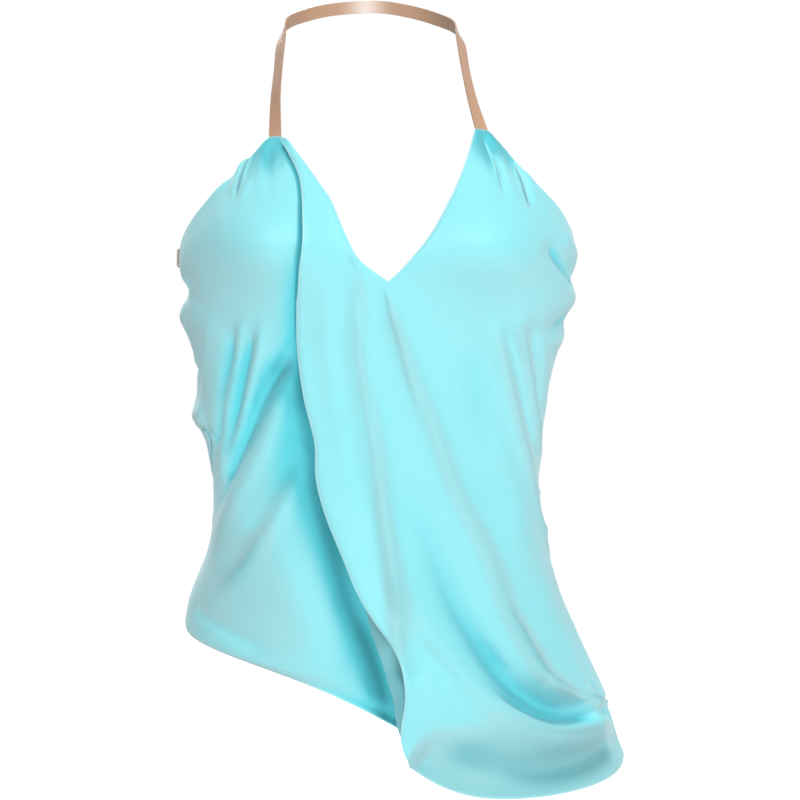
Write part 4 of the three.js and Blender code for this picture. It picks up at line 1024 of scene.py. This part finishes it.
def colour(red, green, blue):
    """A colour from its sRGB numbers, as the shader's linear ones."""

    def linear(value):
        value /= 255
        return value / 12.92 if value <= 0.04045 else ((value + 0.055) / 1.055) ** 2.4
    return (linear(red), linear(green), linear(blue), 1.0)


def satin_look():
    look = Look("aqua_satin")
    place = look.node("ShaderNodeUVMap", {"uv_map": CLOTH_MAP}, {})
    slubs = look.noise(look.scaled(place, SATIN["slubs"]), 1.0, 3)
    floats = look.noise(look.scaled(place, SATIN["floats"]), 1.0, 1)
    weft = look.noise(look.scaled(place, SATIN["weft"]), 1.0, 2)
    mottle = look.noise(place, SATIN["mottle"], 3)
    worn = look.scaled(place, SATIN["handling_stretch"], SATIN["handling_turn"])
    handling = look.noise(worn, SATIN["handling"], 3, 0.45)
    painted_shading = look.attribute(PAINTED_SHADING_MAP)
    shade = 0.55 * slubs + 0.2 * weft + 0.25 * mottle
    base = look.blend(shade, colour(*AQUA["dark"]), colour(*AQUA["light"]))
    # Each stage paints shade into the colour and gives the gloss there a share of metal.
    metal = 0.0
    for low, high, numbers, metal_share in PAINTED_SHADING_STAGES.values():
        stage = look.ease(painted_shading, low, high)
        base = look.blend(stage, base, colour(*numbers))
        metal = metal + metal_share * stage
    # A painted highlight along the rolled edges.
    base = look.blend(0.8 * look.attribute(PAINTED_HIGHLIGHT_MAP), base, colour(*AQUA["rim"]))
    height = 0.25 * floats + 0.35 * slubs + 0.15 * weft + 3.0 * handling
    return look.surface(
        Base_Color=base,
        Roughness=0.5 + 0.1 * slubs + 0.05 * mottle,
        Metallic=metal,
        Normal=look.relief(height, SATIN["relief"]),
        IOR=3.1,
        Sheen_Weight=0.5,
        Sheen_Roughness=0.6,
        Sheen_Tint=colour(*AQUA["sheen"]),
    )


def tape_look():
    look = Look("nude_tape")
    place = look.node("ShaderNodeUVMap", {"uv_map": CLOTH_MAP}, {})
    ribs = look.waves(place, "X", WEBBING["ribs"], 0.4, 1.0)
    picks = look.waves(place, "Y", WEBBING["picks"], 1.0, 2.0)
    mottle = look.noise(look.scaled(place, WEBBING["mottle"]), 1.0, 3)
    shade = 0.3 * ribs + 0.2 * picks + 0.5 * mottle
    base = look.blend(shade, colour(*NUDE["dark"]), colour(*NUDE["light"]))
    # The nape gets a painted highlight in a paler nude.
    return look.surface(
        Base_Color=look.blend(0.75 * look.attribute(PAINTED_HIGHLIGHT_MAP), base, colour(*NUDE["painted_highlight"])),
        Roughness=0.34 + 0.14 * mottle,
        Normal=look.relief(0.6 * ribs + 0.4 * picks, WEBBING["relief"]),
        Sheen_Weight=0.15,
        Sheen_Roughness=0.4,
        Specular_IOR_Level=0.5,
    )


def dress(piece, material, node):
    piece.data.materials.clear()
    piece.data.materials.append(material)
    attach(piece, "root")
    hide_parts(node)


def make_garment():
    satin, nude = satin_look(), tape_look()
    revers = revers_panel()
    right = make_grid("right_front_cloth", right_front_panel())
    left = joined([make_grid("left_front_cloth", left_cup_panel()), make_grid("revers", revers)])
    facing = make_grid("revers_facing_cloth", facing_panel(revers))
    back = make_grid("back_cloth", back_panel())
    neck = make_grid("neck_tape_woven", neck_tape_panel())
    across = make_grid("back_tape_woven", back_tape_panel())
    for piece in (right, left, facing, back):
        give_wall(piece, CLOTH_WALL)
    for piece in (neck, across):
        give_wall(piece, TAPE["wall"])
    dress(right, satin, "right_front")
    dress(left, satin, "left_front")
    dress(facing, satin, "revers_facing")
    dress(back, satin, "back")
    dress(neck, nude, "neck_tape")
    dress(across, nude, "back_tape")


def make_floor():
    """A pale round floor well below the hem."""
    bpy.ops.mesh.primitive_circle_add(vertices=FLOOR["sides"], radius=FLOOR["radius"], fill_type="NGON",
                                      location=(0, 0, FLOOR["z"]))
    floor = bpy.context.object
    floor.name = "studio_floor"
    tone = (FLOOR["tone"],) * 3 + (1.0,)
    look = Look("pale_floor")
    floor.data.materials.append(look.surface(
        Base_Color=tone, Roughness=0.95, Specular_IOR_Level=0.0,
        Emission_Color=tone, Emission_Strength=FLOOR["glow"]))
    floor.visible_diffuse = False


def make_light(name, place, aim, size, power, in_gloss):
    data = bpy.data.lights.new(name, "AREA")
    data.shape = "SQUARE"
    data.size = size
    data.energy = power
    light = bpy.data.objects.new(name, data)
    light.visible_glossy = in_gloss
    light.location = place
    light.rotation_euler = (Vector(aim) - Vector(place)).to_track_quat("-Z", "Y").to_euler()
    bpy.context.collection.objects.link(light)


def make_camera():
    data = bpy.data.cameras.new("camera")
    data.sensor_fit = "HORIZONTAL"
    data.sensor_width = CAMERA["sensor"]
    data.lens = CAMERA["lens"]
    camera = bpy.data.objects.new("camera", data)
    camera.location = CAMERA["place"]
    camera.rotation_euler = (math.pi / 2, 0, 0)
    bpy.context.collection.objects.link(camera)
    bpy.context.scene.camera = camera


def make_room():
    """A white room that shows in the gloss of the cloth, and lights it more softly than it shows."""
    world = bpy.data.worlds.new("studio")
    world.use_nodes = True
    tree = world.node_tree
    background = tree.nodes["Background"]
    background.inputs["Color"].default_value = (1, 1, 1, 1)
    rays = tree.nodes.new("ShaderNodeLightPath")
    less = tree.nodes.new("ShaderNodeMath")
    less.operation = "MULTIPLY_ADD"
    less.inputs[1].default_value = ROOM_LIGHT["soft"] - ROOM_LIGHT["seen"]
    less.inputs[2].default_value = ROOM_LIGHT["seen"]
    tree.links.new(rays.outputs["Is Diffuse Ray"], less.inputs[0])
    tree.links.new(less.outputs[0], background.inputs["Strength"])
    bpy.context.scene.world = world


def make_studio():
    make_floor()
    for light in LIGHTS:
        make_light(*light)
    make_room()
    bpy.context.scene.view_settings.view_transform = "Standard"
    make_camera()


bpy.ops.object.select_all(action="DESELECT")
make_garment()
make_studio()
bpy.ops.object.select_all(action="DESELECT")
